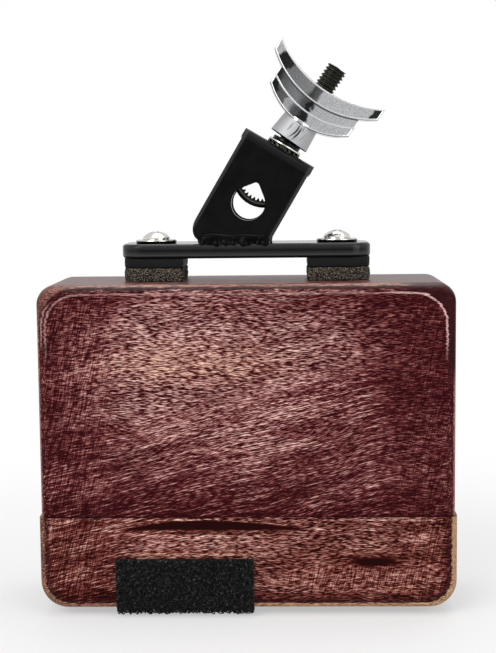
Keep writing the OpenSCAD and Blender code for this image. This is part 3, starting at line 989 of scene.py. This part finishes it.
def blackened_steel(name):
    material = finish(name, Metallic=0.75)
    x, y, z = place_mm(material)
    cast = mottle((x, y, z), 1.3, detail=3.0, seed=1.0)
    radius = distance(x - eye_middle.x / MM, z - eye_middle.z / MM)
    # the outer bevel below the shoulders, painted dark as shade
    bevel_shade = in_range(radius, 10.1, 10.2) * in_range(z, shoulder_z, shoulder_z - 1)
    # a thin ring where the bevel begins, painted pale as a highlight
    crest = band(radius, 9.85, 9.95, 10.1, 10.2)
    base = ramp(cast, (0.3, 16, 16, 13), (0.7, 62, 61, 52))
    base = blend(bevel_shade, base, colour(10, 10, 10))
    base = blend(crest, base, colour(112, 110, 102))
    wire(material, Base_Color=base, Roughness=in_range(cast, 0.3, 0.7, 0.3, 0.5))
    relief(cast, 0.05, 0.6)
    return material


steel_finish = blackened_steel("blackened_steel")
print("steel:", len(steel_finish.node_tree.nodes), "nodes")

# %% [markdown]
# The eye starts as a flat disc with eased edges. It is cut off level above its yoke, and the
# opening is cut out with a thicker disc that is cut off level too, so the yoke stays whole.

# %% Model the eye
eye_r = 11.5 * MM
eye_t = 7.5 * MM
eye_hole = 9.2 * MM
eye_bevel = 1.4 * MM
yoke_top = 8.1 * MM
yoke_t = 3.5 * MM
tooth_h = 1.0 * MM
tooth_count = 13
tooth_arc = math.radians(132)
shank_r = 3.9 * MM
shank_tip_z = 47.5 * MM
thread_pitch = 1.411 * MM
thread_depth = 0.72 * MM


def cut_flat(piece, level):
    """Takes away all above one level, and closes the cut."""
    shape(piece, "VERT")
    slice_off((0, 0, level), (0, 0, 1), clear_outer=True)
    leave()


eye = disc("eyebolt_body", eye_r, eye_t)
ease(eye, eye_bevel, 2, 60)
cut_flat(eye, yoke_top)
opening = disc("opening", eye_hole, 2 * eye_t)
cut_flat(opening, yoke_top - yoke_t)
combine(eye, opening)
print("eye before its teeth:", len(eye.data.polygons), "faces")

# %% [markdown]
# One tooth is a small block that tapers towards its crest. Its copies stand round the opening
# and are fused with the eye, and then the shank is joined on.

# %% Model the teeth and the shank
tooth_step = tooth_arc / tooth_count
tooth_root = eye_hole + 0.5 * tooth_h
tooth = cube("tooth", (0, 0, -tooth_root + 0.75 * tooth_h),
             (2 * tooth_root * math.sin(tooth_step / 2), eye_t - 2 * eye_bevel, 1.5 * tooth_h))
shape(tooth)
pick_faces(tooth, lambda c, n: n.z > 0.9)
bpy.ops.transform.resize(value=(0.12, 0.8, 1))
leave()
tooth_turns = [(i - (tooth_count - 1) / 2) * tooth_step for i in range(tooth_count)]
for item in copies_round(tooth, tooth_turns, "Y"):
    combine(eye, item, "UNION")
ease(eye, 0.12 * MM, 1, 50)
shank = threaded_shank("shank", shank_r, thread_pitch, thread_depth, yoke_top - 0.5 * MM, shank_tip_z)
eye = join(eye, shank)
settle(eye, on_bolt)
smooth(eye, 40)
dress(eye, "eyebolt", ["eyebolt"], steel_finish)

# %% [markdown]
# ## Chrome and zinc
# The wing nut is a zinc casting under thick chrome. The casting was not polished flat before it
# was plated, so the mirror is a little lumpy, and its reflections break up. The washers and the
# screws are steel under thin zinc.

# %% Bright metal
def bright_metal(name, tint, gloss, lump_mm, lump_depth, strength=0.5, shade=None):
    """A plated metal; shade is a function that gives where dark reflections, shade and marks are painted in,
    and where the plating is matt.
    """
    material = finish(name, Metallic=1.0)
    place = place_mm(material)
    bumps = mottle(place, 1 / lump_mm, seed=1.0)
    haze = mottle(place, 2.2, detail=3.0, seed=2.0)
    darker = [v * 0.78 for v in tint[:3]] + [1.0]
    base = gradient(haze, (0.3, darker), (0.65, tint))
    roughness = in_range(haze, 0.3, 0.75, *gloss)
    if shade:
        darkening, matt = shade(material, bumps)
        base = blend(matt * 0.9, base, colour(176, 177, 178))
        # painted dark reflections and shade, and the real cast marks, darken the colour
        base = blend(darkening, base, colour(14, 14, 15))
        roughness = highest(roughness, matt * 0.6)
    wire(material, Base_Color=base, Roughness=roughness)
    relief(bumps, lump_depth, strength)
    return material


def washer_edge_shade(material, bumps):
    """The flat washer under the nut has its edge painted dark as shade, except between two heights."""
    _, up = leaning(material, hole_middle, strap_tilt)
    return 1 - band(up, 24.4, 24.6, 24.85, 25.05), 0.0


def penny_edge_shade(material, bumps):
    """A penny washer's edge is painted dark as shade under its upper corner."""
    corner = plate_high.z / MM + 0.95
    return in_range(place_mm(material)[2], corner, corner - 0.15), 0.0


zinc_tint = colour(230, 228, 222)
zinc_gloss = (0.16, 0.3)
zinc_finish = bright_metal("zinc_plate", zinc_tint, zinc_gloss, 1.8, 0.03)
zinc_washer_finish = bright_metal("zinc_washer", colour(230, 229, 225), zinc_gloss, 1.8, 0.03,
                                  shade=washer_edge_shade)
zinc_penny_finish = bright_metal("zinc_penny", zinc_tint, zinc_gloss, 1.8, 0.03, shade=penny_edge_shade)
worn_zinc_finish = bright_metal("worn_zinc", colour(84, 82, 70), (0.25, 0.45), 0.7, 0.08, 0.6)
print("zinc: new, two kinds of washer, and worn")

# %% [markdown]
# The chrome of the wing nut has dark reflections painted on the sunk fields of both wings, on
# the groove between them and in thin lines under the rims, and painted shade along the foot of
# the hub. The hub is matt all round. The finish needs the arcs that part the wings, so their
# levels and radii come first.

# %% Chrome of the wing nut
wing_d = 13.0 * MM
nut_foot = 15.95 * MM
saddle, saddle_r = 38.3 * MM, 42.4 * MM
wing_under, wing_under_r = 32.2 * MM, 37.2 * MM
recess_under, recess_under_r = 28.4 * MM, 33.0 * MM
lower_under, lower_under_r = 23.0 * MM, 27.4 * MM
rim_w = 0.8 * MM
field_depth = 0.4 * MM
shadow = 0.3 * MM


def wing_nut_shade(material, bumps):
    """Where dark reflections and shade are painted in, with the hub's cast marks, and where the plating is
    matt.
    """
    across, up = leaning(material, eye_middle, bolt_tilt)
    front = abs(sides(material)[1])
    row_mm = 48
    share = (across + bumps * 6 - 3) / row_mm + 0.5

    def below(level, radius):
        """Whether a point lies under the arc with this lowest level and radius."""
        level, radius = level / MM, radius / MM
        return in_range(distance(across, up - (level + radius)), radius - 0.1, radius + 0.1)

    def line_at(level, radius):
        return below(level + shadow, radius) - below(level - shadow, radius)

    def row(*stops):
        """Numbers from the left to the right, each with its place in millimetres."""
        return steps(share, *((x / row_mm + 0.5, v) for x, v in stops))

    upper = row((-24, 0.0), (-19.6, 0.05), (-19, 0.97), (-14.6, 0.95), (-13.8, 0.62), (-4.5, 0.5),
                (-3, 0.9), (0.4, 0.75), (1.4, 0.0), (18.8, 0.0), (19.4, 0.95), (22.6, 0.95))
    groove = row((-16.8, 0.98), (-15, 0.9), (-12, 0.7), (-7, 0.55), (-3.8, 0.8), (-1.4, 0.86),
                 (-0.9, 0.98), (0.5, 0.95), (1.2, 0.1), (17, 0.0))
    lower = row((-16.6, 0.97), (-14.2, 0.97), (-13.4, 0.8), (-9.6, 0.75), (-8.8, 0.2), (-6.4, 0.3),
                (-4.8, 0.8), (-2.4, 0.84), (-1.8, 0.97), (0.5, 0.95), (1.3, 0.08), (17, 0.0))
    # the rows paint dark reflections on the wings' fields and the groove
    darkening = blend(below(wing_under, wing_under_r), upper, groove)
    darkening = blend(below(recess_under, recess_under_r), darkening, lower)
    hub = below(lower_under, lower_under_r)
    sunk = in_range(abs(place_mm(material)[1] - 1.45), 6.35, 6.2)
    field_reflections = darkening * (1 - hub) * sunk * in_range(front, 0.9, 0.98)

    curl = (up - 21) * (up - 21) * 0.07 + across
    scars = in_range(grain(curl * 1.3, up * 0.12, 0.0, 1.0, 0.5, 4.0), 0.52, 0.58)
    scars *= spot(across, up, 0.6, 20, 2.8, 3.2) * hub * 0.9
    # thin dark reflections painted under the rims
    rim_reflection_lines = highest(line_at(wing_under - 0.05 * MM, wing_under_r), line_at(lower_under, lower_under_r))
    rim_reflection_lines *= in_range(front, 0.3, 0.5, 0.0, 0.85) * (1 - hub)
    # the lowest edge of the hub's foot is painted dark as shade
    return highest(field_reflections, in_range(up, 16.25, 16.05), scars, rim_reflection_lines), hub


chrome_finish = bright_metal("chrome_plate", colour(232, 233, 235), (0.14, 0.3), 3.5, 0.1,
                             shade=wing_nut_shade)
print("chrome:", len(chrome_finish.node_tree.nodes), "nodes")

# %% [markdown]
# ## The wing nut
# Seen from the front, each wing is a crescent between two arcs. A crescent is a thick disc with
# a larger disc cut out of it, its tips cut off upright. Two crescents with a narrower one
# between them stand on a hub. Each wide one has a raised rim round a sunk field.

# %% Model the wings
wing_half, recess_half, lower_wing_half = 22.8 * MM, 16.9 * MM, 17.4 * MM
tip_reach = 2.6 * MM
rim_steps = (
    (0.06, 0.5), (0.15, 0.35), (0.2, 0.15), (0.18, 0.0), (0.2, -0.15), (0.15, -0.35), (0.06, -0.5),
)


def crescent(name, low, low_r, top, top_r, half, depth):
    """What lies above one arc and below another, between two upright ends."""
    piece = disc(name, low_r, depth, 192)
    piece.data.transform(Matrix.Translation((0, 0, low + low_r)))
    hollow = disc("hollow", top_r, 2 * depth, 256)
    hollow.data.transform(Matrix.Translation((0, 0, top + top_r)))
    combine(piece, hollow)
    shape(piece, "VERT")
    for side in (-1, 1):
        slice_off((side * half, 0, 0), (side, 0, 0), clear_outer=True)
    leave()
    return piece


def wing(name, low, low_r, top, top_r, half):
    """A crescent whose front and back carry a rounded rim round a sunk field."""
    piece = crescent(name, low, low_r, top, top_r, half, wing_d - 2 * field_depth)

    def close_to_tip(a, b):
        """Edges from front to back near a tip, too short a step apart for the rim."""
        return half - tip_reach < abs(a.x) < half - 0.02 * MM and near(a.x, b.x) and near(a.z, b.z)

    shape(piece, "EDGE")
    pick_edges(piece, close_to_tip)
    bpy.ops.mesh.dissolve_edges(use_verts=True)
    for side in (-1, 1):
        bpy.ops.mesh.select_mode(type="FACE")
        pick_faces(piece, lambda c, n: side * n.y > 0.99)
        for width, rise in rim_steps:
            bpy.ops.mesh.inset(thickness=width * rim_w, depth=rise * field_depth)
    leave()
    print(name, "is", round(piece.dimensions.y / MM, 2), "mm deep")
    return piece


nut = wing("wing_nut_body", wing_under, wing_under_r, saddle, saddle_r, wing_half)
web = crescent("web", recess_under - MM, recess_under_r, saddle - MM, saddle_r, recess_half, wing_d - 2 * MM)
lower_wing = wing("lower_wing", lower_under, lower_under_r, recess_under, recess_under_r, lower_wing_half)
combine(nut, web, "UNION")
combine(nut, lower_wing, "UNION")

# %% [markdown]
# The hub is a tapered drum under the wings. The bore goes through everything.

# %% Model the hub
hub_foot_r = 7.8 * MM
hub_top_r = 6.9 * MM
hub_top = lower_under + 1.4 * MM
bore_r = shank_r + 0.08 * MM
bpy.ops.mesh.primitive_cone_add(
    vertices=96, radius1=hub_foot_r, radius2=hub_top_r, depth=hub_top - nut_foot,
    location=(0, 0, (hub_top + nut_foot) / 2),
)
hub = start("hub")
ease(hub, 0.3 * MM, 3, 60)
combine(nut, hub, "UNION")
drill(nut, 0, 0, bore_r, nut_foot - MM, saddle + MM, 64)
settle(nut, on_bolt)
smooth(nut)
dress(nut, "wing_nut", ["wing_nut"], chrome_finish)

# %% [markdown]
# ## The washers under the nut
# Next to the strap lies a toothed washer, then a bright flat one, then a black nylon one that
# lets the nut turn. Each is a ring, and the toothed one has its teeth twisted a little out of
# flat.

# %% Model the washers
washer_inner = 4.3 * MM
stack = 3.3 * MM
shift = (strap_rise - eye_rise + stack / 2) * math.tan(bolt_lean)
on_washers = on_strap @ Matrix.Translation((shift, 0, strap_rise))
star_tooth_count = 16
star_twist = 0.5


def ring(name, outer, inner, thick, low=0.0, round_by=0.18 * MM):
    piece = cylinder(name, outer, thick, (0, 0, low + thick / 2))
    drill(piece, 0, 0, inner, low - MM, low + thick + MM, 72)
    if round_by:
        ease(piece, round_by, 2, 50)
    return piece


star = ring("toothed_washer_ring", 5.2 * MM, washer_inner, 0.5 * MM, 0.15 * MM, 0.0)
star_middle = (5.75 * MM, 0, 0.4 * MM)
star_tooth = cube("star_tooth", star_middle, (1.5 * MM, 1.35 * MM, 0.4 * MM))
shape(star_tooth)
pick_faces(star_tooth, lambda c, n: n.x > 0.9)
bpy.ops.transform.rotate(value=star_twist, orient_axis="X", center_override=star_middle)
leave()
star_turns = [2 * math.pi * i / star_tooth_count for i in range(star_tooth_count)]
star = join(star, *copies_round(star_tooth, star_turns, "Z"))
flat_ring = ring("flat_washer_ring", 6.5 * MM, washer_inner, 1.0 * MM, 0.8 * MM)
nylon_ring = ring("nylon_washer_ring", 5.45 * MM, washer_inner, 1.5 * MM, 1.8 * MM, 0.3 * MM)
for piece, node, slot, look in (
    (star, "toothed_washer", "zinc_plate", worn_zinc_finish),
    (flat_ring, "flat_washer", "zinc_plate", zinc_washer_finish),
    (nylon_ring, "friction_washer", "black_nylon", black_paint("black_nylon")),
):
    settle(piece, on_washers)
    smooth(piece, 40)
    dress(piece, "root", [node], look)

# %% [markdown]
# ## The plate's screws
# Two pan-head screws with a cross recess hold the plate. The head starts as a low drum. Its top
# face is raised and narrowed in steps along a dome, and the recess is cut by two crossed bars
# whose ends taper.

# %% Model a screw
screw_low, screw_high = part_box("plate_screws")
washer_t = 1.2 * MM
head_foot = plate_high.z + washer_t
head_r = 5.0 * MM
head_h = screw_high.z - head_foot
head_rim = 0.9 * MM
recess_h = 1.7 * MM
screw_r = 2.45 * MM
screw_pitch = 0.8 * MM
screw_depth = 0.42 * MM
dome_h = head_h - head_rim
dome_r = (head_r ** 2 + dome_h ** 2) / (2 * dome_h)
dome_steps = 8


def pan_head(name):
    head = cylinder(name, head_r, head_rim, (0, 0, head_rim / 2), 64)
    shape(head)
    pick_faces(head, lambda c, n: n.z > 0.9)
    wide, level = head_r, 0.0
    for i in range(1, dome_steps + 1):
        angle = math.asin(head_r / dome_r) * (1 - i / (dome_steps + 1))
        next_wide = dome_r * math.sin(angle)
        next_level = dome_r * math.cos(angle) - (dome_r - dome_h)
        bpy.ops.mesh.extrude_region_move(TRANSFORM_OT_translate={"value": (0, 0, next_level - level)})
        bpy.ops.transform.resize(value=(next_wide / wide, next_wide / wide, 1))
        wide, level = next_wide, next_level
    leave()
    return head


def cut_recess(head):
    for quarter, taper in ((0, (0.62, 1, 1)), (1, (1, 0.62, 1))):
        bpy.ops.mesh.primitive_cube_add(
            size=1, location=(0, 0, head_h - recess_h / 2 + 0.5 * MM),
            rotation=(0, 0, quarter * math.pi / 2), scale=(5.4 * MM, 1.1 * MM, recess_h + MM),
        )
        blade = start("blade")
        shape(blade)
        pick_faces(blade, lambda c, n: n.z < -0.9)
        bpy.ops.transform.resize(value=taper)
        leave()
        combine(head, blade)


left_screw = pan_head("pan_head_screws")
cut_recess(left_screw)
ease(left_screw, 0.12 * MM, 2, 45)
screw_shank = threaded_shank("screw_shank", screw_r, screw_pitch, screw_depth,
                             screw_low.z - head_foot, 0.1 * MM)
left_screw = join(left_screw, screw_shank)
left_screw.data.transform(Matrix.Rotation(math.radians(20), 4, "Z"))
right_screw = copy_of(left_screw, "right_screw", Matrix.Rotation(math.radians(33), 4, "Z"))
print("a screw has", len(left_screw.data.polygons), "faces")

# %% [markdown]
# The second screw is a copy of the first, turned a little further, as two screws never stop at
# the same turn. A plain penny washer lies under each.

# %% Place the screws and their washers
for piece, screw_x in zip((left_screw, right_screw), screw_places):
    piece.data.transform(Matrix.Translation((screw_x, plate_mid.y, head_foot)))
screws = join(left_screw, right_screw)
smooth(screws, 35)
dress(screws, "root", ["plate_screws"], zinc_finish)

left_ring = ring("penny_washers", 7.5 * MM, 2.75 * MM, washer_t, 0.0, 0.3 * MM)
penny = join(left_ring, copy_of(left_ring, "right_ring", Matrix.Translation((screw_span, 0, 0))))
settle(penny, Matrix.Translation((screw_places[0], plate_mid.y, plate_high.z)))
smooth(penny, 40)
dress(penny, "root", ["screw_washers"], zinc_penny_finish)

# %% [markdown]
# ## Felt, rubber and yarn
# Felt is pressed wool, so its finish is all short fibres that lie level. Rubber and yarn are
# even in every direction, and one function serves both.

# %% Felt, rubber and yarn finishes
def felt(name):
    material = finish(name, Roughness=0.95, Specular_IOR_Level=0.1, Sheen_Weight=0.05, Sheen_Roughness=0.5)
    x, y, z = place_mm(material)
    specks = grain(x * 1.6, y * 1.6, z * 2.6, 3.0, 0.7, 1.0)
    fibres = grain(x * 2.2, y * 2.2, z * 5.0, 2.0, 0.6, 2.0)
    total = specks * 0.6 + fibres * 0.5
    wire(material, Base_Color=ramp(total, (0.46, 5, 2, 2), (0.555, 28, 22, 17), (0.67, 160, 149, 134)))
    relief(total, 0.5, 0.8)
    return material


def speckled(name, per_mm, roughness, depth_mm, strength, stops, **constants):
    material = finish(name, **constants)
    specks = mottle(place_mm(material), per_mm, 3.0, roughness, 1.0)
    wire(material, Base_Color=ramp(specks, *stops))
    relief(specks, depth_mm, strength)
    return material


felt_finish = felt("felt")
rubber_finish = speckled("pad_rubber", 1.8, 0.5, 0.12, 0.6, ((0.3, 10, 11, 11), (0.7, 27, 28, 27)),
                         Roughness=0.62, Specular_IOR_Level=0.12)
# the palest stops paint glints on the black yarn
yarn_stops = ((0.4, 3, 3, 3), (0.52, 16, 17, 17), (0.64, 66, 68, 66), (0.8, 220, 222, 220))
loop_finish = speckled("loop_pile", 1.1, 0.7, 0.1, 0.5, yarn_stops, Roughness=0.85, Specular_IOR_Level=0.2)
print("soft finishes:", felt_finish.name, rubber_finish.name, loop_finish.name)

# %% [markdown]
# ## The pads
# A felt pad is a soft block whose sides bulge a little and are rough. A rubber pad above it is
# cut from sheet, with a slight bulge of its own. Both start as the plate's end, cut off straight
# towards the middle. They are squeezed solid, so their walls are moved outward in code, where a
# cloth simulation would only crease them.

# %% Model the pads
pad_corner = 7.1 * MM
pad_give = 0.3 * MM
pad_bore = 2.9 * MM
pad_core = 5.0 * MM
pad_ends = {-1: (-0.3 * MM, -0.6 * MM), 1: (0.3 * MM, 0.7 * MM)}


def pad(name, node):
    """A block in a pad's box, pressed outward and down a little, with rounded outer corners."""
    low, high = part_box(node)
    side = 1 if low.x + high.x > 2 * plate_mid.x else -1
    low.x += pad_ends[side][0]
    high.x += pad_ends[side][1]
    if high.z < plate_low.z - MM:
        high.z -= pad_give
    else:
        low.z -= pad_give
    outer_x = high.x if side > 0 else low.x
    piece = cube(name, (low + high) / 2, high - low)
    shape(piece, "EDGE")
    pick_edges(piece, lambda a, b: near(outer_x, a.x, b.x) and near(a.y, b.y))
    bevel(pad_corner, 10)
    leave()
    drill(piece, screw_places[side > 0], plate_mid.y, pad_bore, low.z - MM, high.z + MM)
    modify(piece, "REMESH", mode="VOXEL", voxel_size=0.4 * MM)
    return piece, low, high


def press(piece, low, high, bulge, rough, scale, seed):
    """Swells the sides between the two flat faces, and roughens them. The bore stays."""
    middle = (low + high) / 2
    for vertex in piece.data.vertices:
        share = (vertex.co.z - low.z) / (high.z - low.z)
        side = 4 * share * (1 - share)
        out = Vector((vertex.co.x - middle.x, vertex.co.y - middle.y, 0))
        if out.length < pad_core:
            continue
        rough_by = rough * noise.noise(vertex.co / scale + Vector((seed, 0, 0)))
        vertex.co += out.normalized() * (bulge * side - bulge + rough_by * (0.3 + side))
    piece.data.update()


soft_felt = ("felt", felt_finish, 0.9, (0.3 * MM, 0.28 * MM, 0.9 * MM), 70)
soft_rubber = ("pad_rubber", rubber_finish, 1.0, (0.15 * MM, 0.06 * MM, 2.5 * MM), 50)
for name, node, seed, (slot, look, fill, measures, angle) in (
    ("felt_left", "left_felt_pad", 1.7, soft_felt),
    ("felt_right", "right_felt_pad", 8.3, soft_felt),
    ("rubber_left", "left_rubber_pad", 3.1, soft_rubber),
    ("rubber_right", "right_rubber_pad", 5.9, soft_rubber),
):
    piece, low, high = pad(name, node)
    press(piece, low, high, *measures, seed)
    smooth(piece, angle)
    dress(piece, "root", [node], look)

# %% [markdown]
# ## The loop strip
# The black strip is the loop side of a hook-and-loop tape. Its base is a thin band bent round
# the block's lower edge. On it stand small loops of yarn. One loop is modelled and copied, each
# copy with its own turn, lean and size.

# %% Model the base of the strip
strip_low, strip_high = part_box("loop_strip")
base_t = 1.3 * MM
bend_mid_y = upper_low.y + edge_round
bend_mid_z = lower_low.z + edge_round
base_r = edge_round + 0.1 * MM
front_run = strip_high.z - bend_mid_z
under_run = strip_high.y - bend_mid_y

bpy.ops.mesh.primitive_plane_add(
    size=1, location=((strip_low.x + strip_high.x) / 2, bend_mid_y - base_r, (strip_high.z + bend_mid_z) / 2),
    rotation=(math.pi / 2, 0, 0),
)
bpy.context.object.scale = (strip_high.x - strip_low.x, front_run, 1)
strip = start("pile_strip")
shape(strip, "EDGE")
pick_edges(strip, lambda a, b: near(bend_mid_z, a.z, b.z))
bpy.ops.mesh.spin(steps=8, angle=-math.pi / 2, center=(0, bend_mid_y, bend_mid_z), axis=(1, 0, 0))
pick_edges(strip, lambda a, b: near(bend_mid_y, a.y, b.y))
bpy.ops.mesh.extrude_region_move(TRANSFORM_OT_translate={"value": (0, under_run, 0)})
bpy.ops.mesh.select_all(action="SELECT")
bpy.ops.mesh.remove_doubles(threshold=0.01 * MM)
bpy.ops.mesh.normals_make_consistent(inside=False)
leave()
print("strip base before its wall:", [round(v / MM, 1) for v in strip.dimensions])
modify(strip, "SOLIDIFY", thickness=base_t, offset=1.0, use_even_offset=True)

# %% [markdown]
# One loop is the upper half of a small ring. Its copies stand in a loose grid over the outer
# side of the band, and numpy places them all at once.

# %% Model one loop
bpy.ops.mesh.primitive_torus_add(
    major_segments=10, minor_segments=3, major_radius=0.52 * MM, minor_radius=0.13 * MM,
    rotation=(math.pi / 2, 0, 0),
)
loop = start("loop")
shape(loop, "VERT")
slice_off((0, 0, -0.1 * MM), (0, 0, 1), clear_inner=True)
bpy.ops.mesh.select_all(action="SELECT")
bpy.ops.mesh.quads_convert_to_tris()
leave()
loop_points = np.array([v.co for v in loop.data.vertices])
loop_faces = np.array([p.vertices for p in loop.data.polygons])
bpy.data.objects.remove(loop)
print("one loop has", len(loop_faces), "faces")

# %% [markdown]
# Real pile stands close on the front and is crushed under the block. So the loops in front are
# dense and tall, and those underneath are sparse and low. None reaches out of the strip's box.

# %% Stand the loops on the strip
outer_r = base_r + base_t
bend_run = outer_r * math.pi / 2
rng = np.random.default_rng(5)


def strip_place(run):
    """The point and the outward direction at a length along the band, from its upper end."""
    if run < front_run:
        return bend_mid_y - outer_r, strip_high.z - run, -1.0, 0.0
    if run < front_run + bend_run:
        angle = (run - front_run) / outer_r
        out_y, out_z = -math.cos(angle), -math.sin(angle)
        return bend_mid_y + outer_r * out_y, bend_mid_z + outer_r * out_z, out_y, out_z
    return bend_mid_y + run - front_run - bend_run, bend_mid_z - outer_r, 0.0, -1.0


def loop_cloud(spacing, from_run, to_run, tall):
    """Copies of the loop between two lengths of the band."""
    points, faces = [], []
    run = from_run
    while run < to_run:
        x = strip_low.x + 0.35 * spacing
        while x < strip_high.x - 0.2 * spacing:
            loose_run = run + 0.5 * spacing * rng.uniform(-1, 1)
            y, z, out_y, out_z = strip_place(min(max(loose_run, from_run), to_run))
            lean = np.array((0.0, out_y, out_z)) + 0.45 * rng.standard_normal(3)
            lean /= np.linalg.norm(lean)
            side = np.cross(lean, rng.standard_normal(3))
            side /= np.linalg.norm(side)
            axes = np.array((side, np.cross(lean, side), lean))
            size = rng.uniform(0.75, 1.3) * np.array((1.0, 1.0, tall * rng.uniform(0.8, 1.5)))
            place = np.array((x + 0.5 * spacing * rng.uniform(-1, 1), y, z))
            faces.append(loop_faces + len(points) * len(loop_points))
            points.append((loop_points * size) @ axes + place)
            x += spacing
        run += spacing
    print(len(points), "loops", round(spacing / MM, 2), "mm apart")
    return np.concatenate(points), np.concatenate(faces)


front_cloud = loop_cloud(0.78 * MM, 0.3 * MM, front_run + bend_run, 1.35)
under_cloud = loop_cloud(1.5 * MM, front_run + bend_run, front_run + bend_run + under_run - MM, 0.9)
for name, (points, faces) in (("front_pile", front_cloud), ("under_pile", under_cloud)):
    points[:, 0] = np.clip(points[:, 0], strip_low.x, strip_high.x)
    points[:, 1] = np.maximum(points[:, 1], strip_low.y)
    points[:, 2] = np.maximum(points[:, 2], strip_low.z)
    mesh = bpy.data.meshes.new(name)
    mesh.from_pydata(points.tolist(), [], faces.tolist())
    pile = bpy.data.objects.new(name, mesh)
    bpy.context.scene.collection.objects.link(pile)
    join(strip, pile)
smooth(strip, 60)
dress(strip, "root", ["loop_strip"], loop_finish)

# %% [markdown]
# ## The threaded inserts
# The brass inserts sit out of sight in the wood, so they keep their solid from the frame and
# only get a finish.

# %% Brass for the inserts
brass_finish = bright_metal("insert_brass", colour(196, 152, 74), (0.25, 0.45), 0.9, 0.06, 0.6)
inserts = frame["nodes"]["thread_inserts"]
inserts.data.materials.clear()
inserts.data.materials.append(brass_finish)
print("thread_inserts: brass")

# %% [markdown]
# ## Floor, world and lamps
# The photograph is on plain white. The floor keeps the soft shadow near the block and fades to
# white further out. The world is white to the camera and to clear things, and grades like a
# studio to mirrors, so that chrome has something to show.

# %% Floor
white = (1.0, 1.0, 1.0, 1.0)
shadow_mm = 90.0
page_mm = 330.0


def ray(owner, kind):
    """1 for this kind of ray, else 0."""
    return add(owner, "LightPath", output=f"Is {kind} Ray")


bpy.ops.mesh.primitive_plane_add(size=6.0, location=(0, 0, -0.02 * MM))
floor = start("studio_floor")
floor_finish = finish("studio_floor", Base_Color=(0.86, 0.86, 0.86, 1.0), Roughness=0.9,
                      Specular_IOR_Level=0.1)
floor_nodes = floor_finish.node_tree.nodes
floor_x, floor_y, _ = place_mm(floor_finish)
far = in_range(distance(floor_x, floor_y), shadow_mm, page_mm, 0.45, 1.0)
seen = highest(ray(floor_finish, "Camera"), ray(floor_finish, "Glossy"))
matt = Value(floor_finish, floor_nodes["Principled BSDF"].outputs[0])
glow = add(floor_finish, "Emission", {"Color": white, "Strength": 1.0})
floor_mix = add(floor_finish, "MixShader", {0: far * seen, 1: matt, 2: glow})
feed(floor_nodes["Material Output"].inputs[0], floor_mix)
floor.data.materials.append(floor_finish)
print("floor:", len(floor_nodes), "nodes")

# %% [markdown]
# Three backgrounds are mixed by the kind of ray: white for the camera, a dimmer white that
# lights the scene, and the grading studio for mirrors.

# %% World
world = bpy.data.worlds.new("studio")
bpy.context.scene.world = world
world.use_nodes = True
world.node_tree.nodes.clear()
page = add(world, "Background", {"Color": white, "Strength": 1.0})
ambient = add(world, "Background", {"Color": white, "Strength": 0.55})
_, ahead, _ = split(add(world, "TexCoord", output="Generated"))
# A mirror that faces the camera sees the dimmer end of the studio
studio = add(world, "Background", {"Strength": in_range(ahead, -0.72, -0.93, 1.0, 0.66)})
lit = add(world, "MixShader", {0: ray(world, "Glossy"), 1: ambient, 2: studio})
clear_view = highest(ray(world, "Camera"), ray(world, "Transmission"))
shown = add(world, "MixShader", {0: clear_view, 1: lit, 2: page})
feed(world.node_tree.nodes.new("ShaderNodeOutputWorld").inputs[0], shown)
print("world:", len(world.node_tree.nodes), "nodes")

# %% [markdown]
# Three large square lamps stand round the object: the key at the left, a fill at the right, and
# one above and behind, which draws the light line on the block's top.

# %% Lamps
def lamp(name, place, size, power):
    """A square lamp that shines at the middle of the object."""
    data = bpy.data.lights.new(name, "AREA")
    data.shape = "SQUARE"
    data.size = size
    data.energy = power
    light = bpy.data.objects.new(name, data)
    light.location = place
    light.rotation_euler = (Vector((0, 0, 0.1)) - Vector(place)).to_track_quat("-Z", "Y").to_euler()
    bpy.context.scene.collection.objects.link(light)


lamp("key", (-0.7, -1.1, 1.0), 0.9, 10.5)
lamp("fill", (0.9, -1.0, 0.5), 0.9, 5.5)
lamp("top", (0.1, 0.2, 1.3), 0.9, 5.5)
bpy.context.scene.view_settings.view_transform = "Standard"
print("lamps: key, fill and top")
